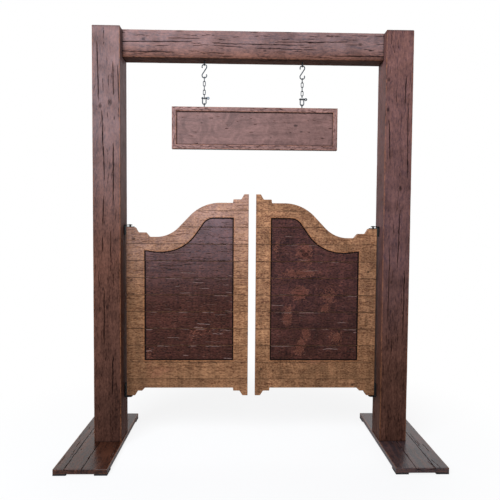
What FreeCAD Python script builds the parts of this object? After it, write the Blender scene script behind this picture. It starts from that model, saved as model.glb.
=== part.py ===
# Cafe swinging doors: two shaped timber leaves on double-action spring pivots, hung in a
# free-standing frame of two posts and a lintel, with a blank sign board on two short chains.
#
# Millimetres. +X runs across the doorway to the right, +Y goes through it, +Z is up.
# The origin is on the floor, in the middle of the area that the two base boards cover.
# Every piece of the right-hand side is drawn once and mirrored for the left-hand side.
import FreeCAD, Part
import math
import os

Vector = FreeCAD.Vector

# ---------------------------------------------------------------- frame timbers
OPENING = 1444.0            # clear width between the posts
FRAME_TOP = 2308.0          # floor to the top of the posts and lintel
POST_SIDE = 150.0           # square posts
POST_ARRIS = 3.0            # eased long edges of posts and lintel
LINTEL_HEIGHT = 150.0
LINTEL_DEPTH = 90.0
LINTEL_SETBACK = 48.0       # lintel face behind the posts' front faces
BASE_WIDTH = 268.0
BASE_THICK = 25.0
BASE_ARRIS = 2.0
BASE_INNER_LIP = 5.0        # base board reaching past the post into the doorway
BASE_FRONT_REACH = 298.0    # base board in front of the post
BASE_REAR_REACH = 262.0     # base board behind the post
PAD_SIDE = 65.0             # rubber pad under each corner of a base board
PAD_THICK = 7.0
PAD_ARRIS = 1.5

# ---------------------------------------------------------------- lag screws
LAG_RADIUS = 4.0
LAG_LENGTH = 160.0
LAG_HEAD_FLATS = 13.0
LAG_HEAD_HEIGHT = 5.5
LAG_POINT = 8.0
LAG_BORE_RADIUS = 11.0      # counterbore for head and socket
LAG_BASE_BORE = 8.0         # its depth in the base board
LAG_POST_BORE = 60.0        # its depth in the post
LAG_BASE_SPACING = 90.0     # square of four under each post
LAG_LINTEL_SPACING = 70.0   # two, one above the other, into each lintel end

# ---------------------------------------------------------------- leaves
LEAF_THICK = 36.0
LEAF_ARRIS = 3.0            # round-over of the sawn outline
LEAF_SIDE_GAP = 13.0        # leaf edge to post
LEAF_CENTRE_GAP = 42.0      # between the two leaves
LEAF_FLOOR_GAP = 268.0      # floor to the foot of the leaf
HINGE_HEIGHT = 959.0        # foot to the top at the hinge edge
TIP_RISE = 190.0            # tip at the meeting edge above that
# drops of the top edge, each from the higher end beside it
TIP_SHELF_DROP = 29.0
SHOULDER_DROP = 20.0        # from that shelf
HINGE_SHELF_DROP = 29.0
VALLEY_DROP = 25.0          # from that shelf
# rises of the bottom edge
FOOT_SHELF_RISE = 27.0
BELLY_RISE = 17.0           # from that shelf
# level and sloping lengths in from the meeting edge, then those in from the hinge edge
TIP_LEVEL = 22.0
TIP_STEP = 24.0
TIP_SHELF = 38.0
SHOULDER_STEP = 8.0
SHOULDER = 68.0
HINGE_LEVEL = 43.0
HINGE_STEP = 25.0
HINGE_SHELF = 36.0
VALLEY_STEP = 28.0
VALLEY = 33.0
LOCK_FOOT = 26.0
LOCK_FOOT_STEP = 24.0
LOCK_FOOT_SHELF = 30.0
LOCK_BELLY_STEP = 6.0
HINGE_FOOT = 43.0
HINGE_FOOT_STEP = 23.0
HINGE_FOOT_SHELF = 18.0
HINGE_BELLY_STEP = 21.0
STEP_FULLNESS = 0.55        # how much of each small step is arc, the rest being straight
SWEEP_FULLNESS = 0.95       # the same for the long sweep of the top edge
SWEEP_UPPER_SHARE = 0.57    # share of the sweep's two radii that the upper arc takes

# sunk field inside the leaf's border, on both faces
FIELD_LOCK_MARGIN = 84.0
FIELD_HINGE_MARGIN = 101.0
FIELD_TOP_MARGIN = 84.0     # below the shoulder
FIELD_VALLEY_MARGIN = 83.0  # below the valley
FIELD_BOTTOM_MARGIN = 159.0  # above the belly
FIELD_SHOULDER = 111.0      # level length of the field's top
FIELD_VALLEY = 25.0
FIELD_FLICK = 72.0          # from there to the field's hinge side
FIELD_FLICK_RISE = 7.0
FIELD_UPPER_SHARE = 0.25
FIELD_SINK = 2.5
GROOVE_WIDTH = 6.0
GROOVE_DEPTH = 6.0          # from the border's face

# edge-jointed boards: one joint runs just over the hinge edge's top
LOWER_BOARDS = 10
UPPER_BOARDS = 2
JOINT_OVER_HINGE = 4.0
BOARD_ARRIS = 1.6           # eased edge beside each joint
BOARD_ARRIS_DEPTH = 3.6
TONGUE_THICK = 8.0
TONGUE_HEIGHT = 8.0
TONGUE_CLEARANCE = 0.2

# ---------------------------------------------------------------- spring pivots
PIN_RADIUS = 5.0
PIN_SETBACK = 18.0          # pivot axis in from the leaf's hinge edge
PIN_RUNNING = 0.1           # radial clearance of a pin in its bearing
PIN_RIVET_RADIUS = 8.0
PIN_RIVET_HEIGHT = 2.5
PIN_EASE = 1.0
BRACKET_THICK = 4.5
BRACKET_WIDTH = 43.0
BRACKET_NOSE = 11.0         # arm past the pin's axis
BRACKET_BEND = 3.0          # inner radius
BRACKET_CORNER = 12.0       # rounded corners of arm and plate
BOTTOM_PLATE_HEIGHT = 76.0
TOP_PLATE_HEIGHT = 58.0
WASHER_RADIUS = 11.0
WASHER_THICK = 3.8
WASHER_RUNNING = 0.2        # washer to the leaf's bearing
TOP_ARM_GAP = 9.5           # top of leaf to the underside of the top arm
FITTING_LENGTH = 39.0       # plates let into the leaf
FITTING_CORNER = 5.0
FITTING_EDGE = 2.0          # plate in from the leaf's hinge edge
SOCKET_PLATE_THICK = 4.0
SOCKET_BOSS_RADIUS = 9.0
SOCKET_BOSS_LENGTH = 24.0
SOCKET_PIN_DEPTH = 20.0
SOCKET_END_ROOM = 2.0
BARREL_FLANGE_THICK = 3.0
BARREL_RADIUS = 12.0
BARREL_WALL = 2.0
BARREL_HEIGHT = 60.0
BARREL_BEARING = 12.0       # length of the bearing at its foot
MORTISE_END_ROOM = 2.0
MORTISE_CLEARANCE = 0.1
SPRING_WIRE_RADIUS = 1.1
SPRING_TURNS = 4
SPRING_END_ROOM = 6.0       # spring and pin both end this far below the barrel's mouth

# countersunk screws
BRACKET_SCREW_RADIUS = 2.5
BRACKET_SCREW_HEAD = 5.0
BRACKET_SCREW_LENGTH = 36.0
BRACKET_SCREW_STAGGER = 11.0   # off the plate's centre line, left and right in turn
BRACKET_SCREW_PITCH = 17.0
BRACKET_SCREW_END = 14.0       # from the plate's free end
BOTTOM_BRACKET_SCREWS = 3
TOP_BRACKET_SCREWS = 2
LEAF_SCREW_RADIUS = 2.0
LEAF_SCREW_HEAD = 4.0
LEAF_SCREW_LENGTH = 28.0
LEAF_SCREW_SETBACK = 34.0      # from the leaf's hinge edge
LEAF_SCREW_EDGE = 6.0          # in from the plate's long edge
SCREW_POINT = 5.0

# ---------------------------------------------------------------- hanging sign
SIGN_WIDTH = 930.0
SIGN_HEIGHT = 234.0
SIGN_SHIFT = 10.0           # hangs a little to the right of the middle
SIGN_PANEL_THICK = 12.0
BATTEN_WIDTH = 25.0
BATTEN_DEPTH = 30.0
BATTEN_ARRIS = 2.0
BATTEN_GROOVE = 8.0         # how far the panel enters each batten
PANEL_PLAY = 0.5
CHAIN_SPACING = 550.0
HANG_GAP = 0.3              # play where one ring hangs in the next

EYE_WIRE = 2.5              # radii of round wire
EYE_LINTEL_RING = 9.5       # radii to the middle of the wire
EYE_SIGN_RING = 8.5
EYE_NECK = 3.0
EYE_COLLAR_RADIUS = 5.0
EYE_COLLAR_THICK = 1.5
EYE_SHANK = 30.0
HOOK_WIRE = 3.0
HOOK_LOOP = 13.0
HOOK_HEIGHT = 74.0          # between the wires' middles at top and bottom
HOOK_MOUTH = 20.0           # degrees that each loop runs past its widest place
LINK_COUNT = 5
LINK_WIRE = 2.0
LINK_BEND = 6.0             # radius to the middle of the wire
LINK_STRAIGHT = 16.0
LINK_PLAY = 0.2
SHACKLE_WIRE = 3.0
SHACKLE_BOW = 10.0
SHACKLE_HEIGHT = 34.0       # pin to the wire's middle at the foot of the bow
SHACKLE_EAR_RADIUS = 6.5
SHACKLE_EAR_LENGTH = 7.0
SHACKLE_PIN_RADIUS = 3.0
SHACKLE_PIN_END = 2.5       # pin showing past the far ear
SHACKLE_TAB_RADIUS = 8.0
SHACKLE_TAB_THICK = 3.0
SHACKLE_TAB_HOLE = 2.5

# ---------------------------------------------------------------- places worked out
BASE_LENGTH = BASE_FRONT_REACH + POST_SIDE + BASE_REAR_REACH
BASE_TOP = PAD_THICK + BASE_THICK
BASE_FRONT = -BASE_LENGTH / 2
BASE_INNER = OPENING / 2 - BASE_INNER_LIP
POST_INNER = OPENING / 2
POST_FRONT = BASE_FRONT + BASE_FRONT_REACH
POST_MIDDLE = POST_FRONT + POST_SIDE / 2
LINTEL_FRONT = POST_FRONT + LINTEL_SETBACK
LINTEL_UNDERSIDE = FRAME_TOP - LINTEL_HEIGHT
DOOR_LINE = LINTEL_FRONT + LINTEL_DEPTH / 2     # leaves, sign and chains hang in this plane

LEAF_INNER = LEAF_CENTRE_GAP / 2
LEAF_OUTER = POST_INNER - LEAF_SIDE_GAP
LEAF_WIDTH = LEAF_OUTER - LEAF_INNER
TIP_HEIGHT = HINGE_HEIGHT + TIP_RISE
TIP_SHELF_HEIGHT = TIP_HEIGHT - TIP_SHELF_DROP
SHOULDER_HEIGHT = TIP_SHELF_HEIGHT - SHOULDER_DROP
HINGE_SHELF_HEIGHT = HINGE_HEIGHT - HINGE_SHELF_DROP
VALLEY_HEIGHT = HINGE_SHELF_HEIGHT - VALLEY_DROP
BELLY_HEIGHT = FOOT_SHELF_RISE + BELLY_RISE
PIN_X = LEAF_OUTER - PIN_SETBACK
BRACKET_ARM = POST_INNER - PIN_X + BRACKET_NOSE
FITTING_WIDTH = LEAF_THICK - 2 * LEAF_ARRIS
LEAF_SCREW_SPREAD = FITTING_WIDTH / 2 - LEAF_SCREW_EDGE
BARREL_BORE = BARREL_RADIUS - BARREL_WALL
SPRING_RADIUS = (PIN_RADIUS + BARREL_BORE) / 2
PIN_STAND = BARREL_HEIGHT - SPRING_END_ROOM
HINGE_TOP_Z = LEAF_FLOOR_GAP + HINGE_HEIGHT
BOTTOM_ARM_TOP = LEAF_FLOOR_GAP - WASHER_THICK - WASHER_RUNNING
TOP_ARM_UNDER = HINGE_TOP_Z + TOP_ARM_GAP

CHAIN_X = CHAIN_SPACING / 2
EYE_LINTEL_MIDDLE = LINTEL_UNDERSIDE - EYE_NECK - EYE_LINTEL_RING - EYE_WIRE
HOOK_TOP = EYE_LINTEL_MIDDLE - EYE_LINTEL_RING + EYE_WIRE + HOOK_WIRE + HANG_GAP
HOOK_BOTTOM = HOOK_TOP - HOOK_HEIGHT
LINK_LENGTH = LINK_STRAIGHT + 2 * LINK_BEND
LINK_PITCH = LINK_LENGTH - 2 * LINK_WIRE - LINK_PLAY
CHAIN_TOP = HOOK_BOTTOM + HOOK_WIRE + LINK_WIRE + HANG_GAP
CHAIN_BOTTOM = CHAIN_TOP - (LINK_COUNT - 1) * LINK_PITCH - LINK_LENGTH
SHACKLE_PIN_Z = CHAIN_BOTTOM + LINK_WIRE + SHACKLE_PIN_RADIUS + HANG_GAP
SHACKLE_BOTTOM = SHACKLE_PIN_Z - SHACKLE_HEIGHT
EYE_SIGN_MIDDLE = SHACKLE_BOTTOM + SHACKLE_WIRE + HANG_GAP + EYE_WIRE - EYE_SIGN_RING
SIGN_TOP = EYE_SIGN_MIDDLE - EYE_SIGN_RING - EYE_WIRE - EYE_NECK
SIGN_BOTTOM = SIGN_TOP - SIGN_HEIGHT
SIGN_LEFT = SIGN_SHIFT - SIGN_WIDTH / 2
SIGN_RIGHT = SIGN_SHIFT + SIGN_WIDTH / 2

ALONG_X = Vector(1, 0, 0)
ALONG_Y = Vector(0, 1, 0)
ALONG_Z = Vector(0, 0, 1)


# ---------------------------------------------------------------- helpers
def block(x0, x1, y0, y1, z0, z1):
    """Box between two corners."""
    return Part.makeBox(x1 - x0, y1 - y0, z1 - z0, Vector(x0, y0, z0))


def rod(start, direction, length, radius):
    """Round bar from a point along a direction."""
    return Part.makeCylinder(radius, length, start, direction)


def group(shapes):
    """Separate solids kept in one node."""
    return Part.makeCompound(shapes)


def mirrored(shape):
    """The left-hand copy of a right-hand piece."""
    return shape.mirror(Vector(0, 0, 0), ALONG_X)


def drilled(shape, tools):
    """The shape with each tool taken out of it."""
    for tool in tools:
        shape = shape.cut(tool)
    return shape


def edges_along(shape, direction, at_least):
    """Straight edges parallel to a direction and at least so long."""
    found = []
    for edge in shape.Edges:
        run = edge.Vertexes[-1].Point - edge.Vertexes[0].Point
        if run.Length >= at_least and abs(run.normalize().dot(direction)) > 0.999:
            found.append(edge)
    return found


def revolved(profile, centre):
    """Solid of revolution about +Z through a centre, from (radius, height) points."""
    points = [Vector(radius, 0, height) for radius, height in profile]
    face = Part.Face(Part.makePolygon(points + points[:1]))
    solid = face.revolve(Vector(0, 0, 0), ALONG_Z, 360)
    solid.translate(centre)
    return solid


def placed(solid, direction, point):
    """Turn a solid drawn along +Z to another direction and move its origin to a point."""
    solid = solid.copy()
    turn = FreeCAD.Rotation(ALONG_Z, direction)
    solid.Placement = FreeCAD.Placement(point, turn).multiply(solid.Placement)
    return solid


def countersunk_screw(radius, head_radius, length):
    """Wood screw with its flat head at the origin and its shank along +Z."""
    head_height = head_radius - radius
    profile = [(0, 0), (head_radius, 0), (radius, head_height), (radius, length - SCREW_POINT),
               (0, length)]
    return revolved(profile, Vector(0, 0, 0))


def lag_screw():
    """Hexagon-headed screw with the underside of its head at the origin, shank along +Z."""
    corner = LAG_HEAD_FLATS / math.sqrt(3)
    corners = [Vector(corner * math.cos(math.radians(60 * i)), corner * math.sin(math.radians(60 * i)),
                      -LAG_HEAD_HEIGHT) for i in range(7)]
    head = Part.Face(Part.makePolygon(corners)).extrude(Vector(0, 0, LAG_HEAD_HEIGHT))
    shank = revolved([(0, 0), (LAG_RADIUS, 0), (LAG_RADIUS, LAG_LENGTH - LAG_POINT),
                      (0, LAG_LENGTH)], Vector(0, 0, 0))
    return head.fuse(shank).removeSplitter()


def s_curve(start, end, fullness, upper_share):
    """Edges of a sweep between two levels: an arc, a straight and an arc, all tangent.

    start and end are (along, up). Both arcs leave their level tangentially. fullness is the
    sum of the two radii as a share of the largest sum that still fits.
    """
    run = end[0] - start[0]
    drop = start[1] - end[1]
    way = math.copysign(1, drop)
    drop = abs(drop)
    radii = fullness * (run ** 2 + drop ** 2) / (2 * drop)
    first = radii * upper_share if way > 0 else radii * (1 - upper_share)
    second = radii - first
    gap_up = radii - drop
    normal = math.atan2(gap_up, run) + math.acos(radii / math.hypot(run, gap_up))
    slope = math.pi / 2 - normal

    def point(from_first, angle):
        if from_first:
            along = first * math.sin(angle)
            up = -first + first * math.cos(angle)
        else:
            along = run - second * math.sin(angle)
            up = -drop + second - second * math.cos(angle)
        return Vector(start[0] + along, 0, start[1] + way * up)

    upper = Part.Arc(point(True, 0), point(True, slope / 2), point(True, slope))
    straight = Part.LineSegment(point(True, slope), point(False, slope))
    lower = Part.Arc(point(False, slope), point(False, slope / 2), point(False, 0))
    return [upper.toShape(), straight.toShape(), lower.toShape()]


def levels_line(levels, sweeps):
    """Edges through (start, end, height) levels; sweeps gives (fullness, share) between them."""
    edges = []
    for index, (start, end, height) in enumerate(levels):
        if end > start:
            edges.append(Part.makeLine(Vector(start, 0, height), Vector(end, 0, height)))
        if index + 1 < len(levels):
            following = levels[index + 1]
            fullness, share = sweeps[index]
            edges += s_curve((end, height), (following[0], following[2]), fullness, share)
    return edges


def face_of(edges):
    """Flat face bounded by edges in any order."""
    return Part.Face(Part.Wire(Part.__sortEdges__(edges)))


# ---------------------------------------------------------------- leaf
STEP = (STEP_FULLNESS, 0.5)


def runs(start, lengths):
    """Running places from a start: level, slope, level, slope and so on."""
    places = [start]
    for length in lengths:
        places.append(places[-1] + length)
    return places


def leaf_outline():
    """Face of the whole leaf, drawn from its meeting edge (x = 0) and its foot (z = 0)."""
    width = LEAF_WIDTH
    tip = runs(0, [TIP_LEVEL, TIP_STEP, TIP_SHELF, SHOULDER_STEP, SHOULDER])
    horn = runs(width, [-HINGE_LEVEL, -HINGE_STEP, -HINGE_SHELF, -VALLEY_STEP, -VALLEY])
    lock_foot = runs(0, [LOCK_FOOT, LOCK_FOOT_STEP, LOCK_FOOT_SHELF, LOCK_BELLY_STEP])
    hinge_foot = runs(width, [-HINGE_FOOT, -HINGE_FOOT_STEP, -HINGE_FOOT_SHELF, -HINGE_BELLY_STEP])
    top = [(tip[0], tip[1], TIP_HEIGHT),
           (tip[2], tip[3], TIP_SHELF_HEIGHT),
           (tip[4], tip[5], SHOULDER_HEIGHT),
           (horn[5], horn[4], VALLEY_HEIGHT),
           (horn[3], horn[2], HINGE_SHELF_HEIGHT),
           (horn[1], horn[0], HINGE_HEIGHT)]
    bottom = [(lock_foot[0], lock_foot[1], 0),
              (lock_foot[2], lock_foot[3], FOOT_SHELF_RISE),
              (lock_foot[4], hinge_foot[4], BELLY_HEIGHT),
              (hinge_foot[3], hinge_foot[2], FOOT_SHELF_RISE),
              (hinge_foot[1], hinge_foot[0], 0)]
    sweep = (SWEEP_FULLNESS, SWEEP_UPPER_SHARE)
    edges = levels_line(top, [STEP, STEP, sweep, STEP, STEP])
    edges += levels_line(bottom, [STEP] * 4)
    edges.append(Part.makeLine(Vector(0, 0, 0), Vector(0, 0, TIP_HEIGHT)))
    edges.append(Part.makeLine(Vector(width, 0, 0), Vector(width, 0, HINGE_HEIGHT)))
    return face_of(edges)


def field_outline():
    """Face of the sunk field in the same drawing."""
    lock_side = FIELD_LOCK_MARGIN
    hinge_side = LEAF_WIDTH - FIELD_HINGE_MARGIN
    bottom = BELLY_HEIGHT + FIELD_BOTTOM_MARGIN
    shoulder = SHOULDER_HEIGHT - FIELD_TOP_MARGIN
    valley = VALLEY_HEIGHT - FIELD_VALLEY_MARGIN
    corner = valley + FIELD_FLICK_RISE
    valley_end = hinge_side - FIELD_FLICK
    top = [(lock_side, lock_side + FIELD_SHOULDER, shoulder),
           (valley_end - FIELD_VALLEY, valley_end, valley),
           (hinge_side, hinge_side, corner)]
    edges = levels_line(top, [(SWEEP_FULLNESS, FIELD_UPPER_SHARE), (SWEEP_FULLNESS, 0.5)])
    edges.append(Part.makeLine(Vector(lock_side, 0, bottom), Vector(lock_side, 0, shoulder)))
    edges.append(Part.makeLine(Vector(hinge_side, 0, bottom), Vector(hinge_side, 0, corner)))
    edges.append(Part.makeLine(Vector(lock_side, 0, bottom), Vector(hinge_side, 0, bottom)))
    return face_of(edges)


def field_cutter():
    """Tool for the front face: the sunk field with its deeper groove all round."""
    field = field_outline()
    island = field.makeOffset2D(-GROOVE_WIDTH)
    pocket = field.extrude(Vector(0, GROOVE_DEPTH, 0))
    return pocket.cut(island.extrude(Vector(0, GROOVE_DEPTH, 0)).translated(Vector(0, FIELD_SINK, 0)))


def leaf_blank():
    """Right leaf in one piece, in its place, with the field cut into both faces."""
    blank = leaf_outline().extrude(Vector(0, LEAF_THICK, 0)).translated(Vector(0, -LEAF_THICK / 2, 0))
    rim = [edge for edge in blank.Edges if edge.BoundBox.YLength < LEAF_THICK / 2]
    blank = blank.makeFillet(LEAF_ARRIS, rim)
    front = field_cutter().translated(Vector(0, -LEAF_THICK / 2, 0))
    blank = drilled(blank, [front, front.mirror(Vector(0, 0, 0), ALONG_Y)])
    return blank.translated(Vector(LEAF_INNER, DOOR_LINE, LEAF_FLOOR_GAP))


def board_joints():
    """Heights of the joints between boards, from the foot up."""
    middle = HINGE_HEIGHT + JOINT_OVER_HINGE
    upper_pitch = (TIP_HEIGHT - middle) / UPPER_BOARDS
    lower = [middle * index / LOWER_BOARDS for index in range(1, LOWER_BOARDS + 1)]
    return lower + [middle + upper_pitch * index for index in range(1, UPPER_BOARDS)]


def board_section(lower, upper):
    """Cross-section of one board: tongue above, groove below, arrises beside the joints.

    A height of None stands for the leaf's own edge, which the outline cuts.
    """
    half = LEAF_THICK / 2
    tongue = TONGUE_THICK / 2
    slot = tongue + TONGUE_CLEARANCE
    inner = half - BOARD_ARRIS_DEPTH
    if upper is None:
        right_side = [(half, TIP_HEIGHT + 1)]
    else:
        right_side = [(half, upper - BOARD_ARRIS), (inner, upper), (tongue, upper),
                      (tongue, upper + TONGUE_HEIGHT)]
    if lower is None:
        right_side = [(half, -1)] + right_side
    else:
        groove_end = lower + TONGUE_HEIGHT + TONGUE_CLEARANCE
        right_side = [(slot, groove_end), (slot, lower), (inner, lower),
                      (half, lower + BOARD_ARRIS)] + right_side
    left_side = [(-across, up) for across, up in reversed(right_side)]
    points = [Vector(0, across, up) for across, up in right_side + left_side]
    return Part.Face(Part.makePolygon(points + points[:1]))


def leaf_boards(blank):
    """The leaf's boards from the foot up, each cut from the blank by its own section."""
    joints = board_joints()
    boards = []
    for lower, upper in zip([None] + joints, joints + [None]):
        bar = board_section(lower, upper).extrude(Vector(LEAF_WIDTH + 2, 0, 0))
        bar.translate(Vector(LEAF_INNER - 1, DOOR_LINE, LEAF_FLOOR_GAP))
        boards.append(blank.common(bar))
    return boards


# ---------------------------------------------------------------- fittings on the leaf
def fitting_plate(z0, thick):
    """Rounded plate at the leaf's hinge corner, lying across its thickness."""
    x1 = LEAF_OUTER - FITTING_EDGE
    half = FITTING_WIDTH / 2
    plate = block(x1 - FITTING_LENGTH, x1, DOOR_LINE - half, DOOR_LINE + half, z0, z0 + thick)
    return plate.makeFillet(FITTING_CORNER, edges_along(plate, ALONG_Z, thick - 0.01))


def leaf_screws():
    """Two screws down through the top plate and two up through the bottom flange."""
    screw = countersunk_screw(LEAF_SCREW_RADIUS, LEAF_SCREW_HEAD, LEAF_SCREW_LENGTH)
    x = LEAF_OUTER - LEAF_SCREW_SETBACK
    screws = []
    for y in (DOOR_LINE - LEAF_SCREW_SPREAD, DOOR_LINE + LEAF_SCREW_SPREAD):
        screws.append(placed(screw, -ALONG_Z, Vector(x, y, HINGE_TOP_Z + SOCKET_PLATE_THICK)))
        screws.append(placed(screw, ALONG_Z, Vector(x, y, LEAF_FLOOR_GAP)))
    return screws


def top_socket(screws):
    """Plate on the leaf's top corner with a blind bush for the top pin."""
    axis = Vector(PIN_X, DOOR_LINE, HINGE_TOP_Z)
    plate = fitting_plate(HINGE_TOP_Z, SOCKET_PLATE_THICK)
    boss = rod(axis, -ALONG_Z, SOCKET_BOSS_LENGTH, SOCKET_BOSS_RADIUS)
    depth = SOCKET_PIN_DEPTH + SOCKET_END_ROOM
    bore = rod(axis + Vector(0, 0, SOCKET_PLATE_THICK), -ALONG_Z, depth, PIN_RADIUS + PIN_RUNNING)
    return drilled(plate.fuse(boss).removeSplitter(), [bore] + screws)


def spring_barrel(screws):
    """Flanged barrel let into the leaf's foot: a bearing below, the spring's room above."""
    outer = BARREL_RADIUS
    inner = BARREL_BORE
    bearing = PIN_RADIUS + PIN_RUNNING
    tube = revolved([(bearing, 0), (outer, 0), (outer, BARREL_HEIGHT), (inner, BARREL_HEIGHT),
                     (inner, BARREL_BEARING), (bearing, BARREL_BEARING)],
                    Vector(PIN_X, DOOR_LINE, LEAF_FLOOR_GAP))
    flange = fitting_plate(LEAF_FLOOR_GAP, BARREL_FLANGE_THICK)
    middle = rod(Vector(PIN_X, DOOR_LINE, LEAF_FLOOR_GAP), ALONG_Z, BARREL_FLANGE_THICK, bearing)
    return drilled(flange.cut(middle).fuse(tube).removeSplitter(), screws)


def torsion_spring():
    """Coil standing on the bearing round the pin, clear of the pin and the barrel's wall."""
    wire = SPRING_WIRE_RADIUS
    foot = LEAF_FLOOR_GAP + BARREL_BEARING + wire
    height = PIN_STAND - BARREL_BEARING - 2 * wire
    pitch = height / SPRING_TURNS
    path = Part.makeHelix(pitch, height, SPRING_RADIUS)
    ahead = Vector(0, 2 * math.pi * SPRING_RADIUS, pitch)
    section = Part.Wire(Part.makeCircle(wire, Vector(SPRING_RADIUS, 0, 0), ahead))
    coil = Part.Wire(path).makePipeShell([section], True, True)
    return coil.translated(Vector(PIN_X, DOOR_LINE, foot))


def leaf_mortises():
    """Room in the leaf for the barrel, its flange and the top bush."""
    foot = Vector(PIN_X, DOOR_LINE, LEAF_FLOOR_GAP)
    top = Vector(PIN_X, DOOR_LINE, HINGE_TOP_Z)
    depth = BARREL_HEIGHT + MORTISE_END_ROOM
    return [rod(foot, ALONG_Z, depth, BARREL_RADIUS + MORTISE_CLEARANCE),
            fitting_plate(LEAF_FLOOR_GAP, BARREL_FLANGE_THICK),
            rod(top, -ALONG_Z, SOCKET_BOSS_LENGTH + MORTISE_END_ROOM,
                SOCKET_BOSS_RADIUS + MORTISE_CLEARANCE)]


# ---------------------------------------------------------------- fittings on the post
def bracket(arm_z, plate_z, screws, pin_hole):
    """Bent strap: a plate on the post's inner face and an arm towards the doorway.

    arm_z is (outside, inside) of the arm, and plate_z is the plate's free end.
    """
    outside, inside = arm_z
    way = math.copysign(1, inside - outside)
    bend = BRACKET_BEND
    outer_bend = bend + BRACKET_THICK
    diagonal = math.sqrt(0.5)
    back = POST_INNER
    front = POST_INNER - BRACKET_THICK
    tip = POST_INNER - BRACKET_ARM

    def point(x, z):
        return Vector(x, 0, z)

    inner_mid = point(front - bend * (1 - diagonal), inside + way * bend * (1 - diagonal))
    outer_mid = point(back - outer_bend * (1 - diagonal), outside + way * outer_bend * (1 - diagonal))
    edges = [Part.makeLine(point(back, plate_z), point(front, plate_z)),
             Part.makeLine(point(front, plate_z), point(front, inside + way * bend)),
             Part.Arc(point(front, inside + way * bend), inner_mid, point(front - bend, inside)).toShape(),
             Part.makeLine(point(front - bend, inside), point(tip, inside)),
             Part.makeLine(point(tip, inside), point(tip, outside)),
             Part.makeLine(point(tip, outside), point(back - outer_bend, outside)),
             Part.Arc(point(back - outer_bend, outside), outer_mid,
                      point(back, outside + way * outer_bend)).toShape(),
             Part.makeLine(point(back, outside + way * outer_bend), point(back, plate_z))]
    strap = face_of(edges).extrude(Vector(0, BRACKET_WIDTH, 0))
    strap.translate(Vector(0, DOOR_LINE - BRACKET_WIDTH / 2, 0))
    short = BRACKET_THICK - 0.01
    corners = [edge for edge in edges_along(strap, ALONG_Z, short)
               if edge.Length < BRACKET_THICK + 0.01]
    corners += [edge for edge in edges_along(strap, ALONG_X, short)
                if edge.Length < BRACKET_THICK + 0.01]
    strap = strap.makeFillet(BRACKET_CORNER, corners)
    return drilled(strap, screws + [pin_hole])


def bracket_screws(plate_z, way, count):
    """Countersunk screws into the post, staggered about the plate's middle."""
    screw = countersunk_screw(BRACKET_SCREW_RADIUS, BRACKET_SCREW_HEAD, BRACKET_SCREW_LENGTH)
    screws = []
    for index in range(count):
        side = 1 if index % 2 else -1
        z = plate_z + way * (BRACKET_SCREW_END + index * BRACKET_SCREW_PITCH)
        y = DOOR_LINE + side * BRACKET_SCREW_STAGGER
        screws.append(placed(screw, ALONG_X, Vector(POST_INNER - BRACKET_THICK, y, z)))
    return screws


def pivot_pin(start_z, end_z):
    """Pin with a riveted head outside the arm at start_z and an eased end at end_z."""
    way = math.copysign(1, end_z - start_z)
    length = abs(end_z - start_z)
    profile = [(0, -PIN_RIVET_HEIGHT), (PIN_RADIUS, -PIN_RIVET_HEIGHT),
               (PIN_RIVET_RADIUS, -PIN_EASE), (PIN_RIVET_RADIUS, 0), (PIN_RADIUS, 0),
               (PIN_RADIUS, length - PIN_EASE), (PIN_RADIUS - PIN_EASE, length), (0, length)]
    return placed(revolved(profile, Vector(0, 0, 0)), ALONG_Z * way, Vector(PIN_X, DOOR_LINE, start_z))


def thrust_washer():
    """Washer on the bottom arm that the leaf turns on."""
    bore = PIN_RADIUS + PIN_RUNNING
    profile = [(bore, 0), (WASHER_RADIUS, 0), (WASHER_RADIUS, WASHER_THICK), (bore, WASHER_THICK)]
    return revolved(profile, Vector(PIN_X, DOOR_LINE, BOTTOM_ARM_TOP))


# ---------------------------------------------------------------- frame timbers
def eased(shape, direction, arris, at_least):
    """Chamfer the long edges that run in a direction."""
    return shape.makeChamfer(arris, edges_along(shape, direction, at_least))


def base_lag_screws():
    """Four lag screws up through the base board into the foot of the right post."""
    head_z = PAD_THICK + LAG_BASE_BORE
    middle = POST_INNER + POST_SIDE / 2
    half = LAG_BASE_SPACING / 2
    return [placed(lag_screw(), ALONG_Z, Vector(middle + dx, POST_MIDDLE + dy, head_z))
            for dx in (-half, half) for dy in (-half, half)]


def lintel_lag_screws():
    """Two lag screws through the right post into the end of the lintel."""
    x = POST_INNER + POST_SIDE - LAG_POST_BORE
    middle = FRAME_TOP - LINTEL_HEIGHT / 2
    half = LAG_LINTEL_SPACING / 2
    return [placed(lag_screw(), -ALONG_X, Vector(x, DOOR_LINE, middle + dz)) for dz in (-half, half)]


def counterbores():
    """Room for the heads of the right side's lag screws."""
    bores = []
    for screw in base_lag_screws():
        x, y = screw.BoundBox.Center.x, screw.BoundBox.Center.y
        bores.append(rod(Vector(x, y, PAD_THICK), ALONG_Z, LAG_BASE_BORE, LAG_BORE_RADIUS))
    for screw in lintel_lag_screws():
        z = screw.BoundBox.Center.z
        outside = Vector(POST_INNER + POST_SIDE, DOOR_LINE, z)
        bores.append(rod(outside, -ALONG_X, LAG_POST_BORE, LAG_BORE_RADIUS))
    return bores


def post(tools):
    """Square post with eased arrises."""
    timber = block(POST_INNER, POST_INNER + POST_SIDE, POST_FRONT, POST_FRONT + POST_SIDE,
                   BASE_TOP, FRAME_TOP)
    timber = eased(timber, ALONG_Z, POST_ARRIS, FRAME_TOP / 2)
    return drilled(timber, tools)


def lintel(tools):
    """Beam between the posts, with its arrises eased."""
    timber = block(-POST_INNER, POST_INNER, LINTEL_FRONT, LINTEL_FRONT + LINTEL_DEPTH,
                   LINTEL_UNDERSIDE, FRAME_TOP)
    timber = eased(timber, ALONG_X, POST_ARRIS, OPENING / 2)
    return drilled(timber, tools)


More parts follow.
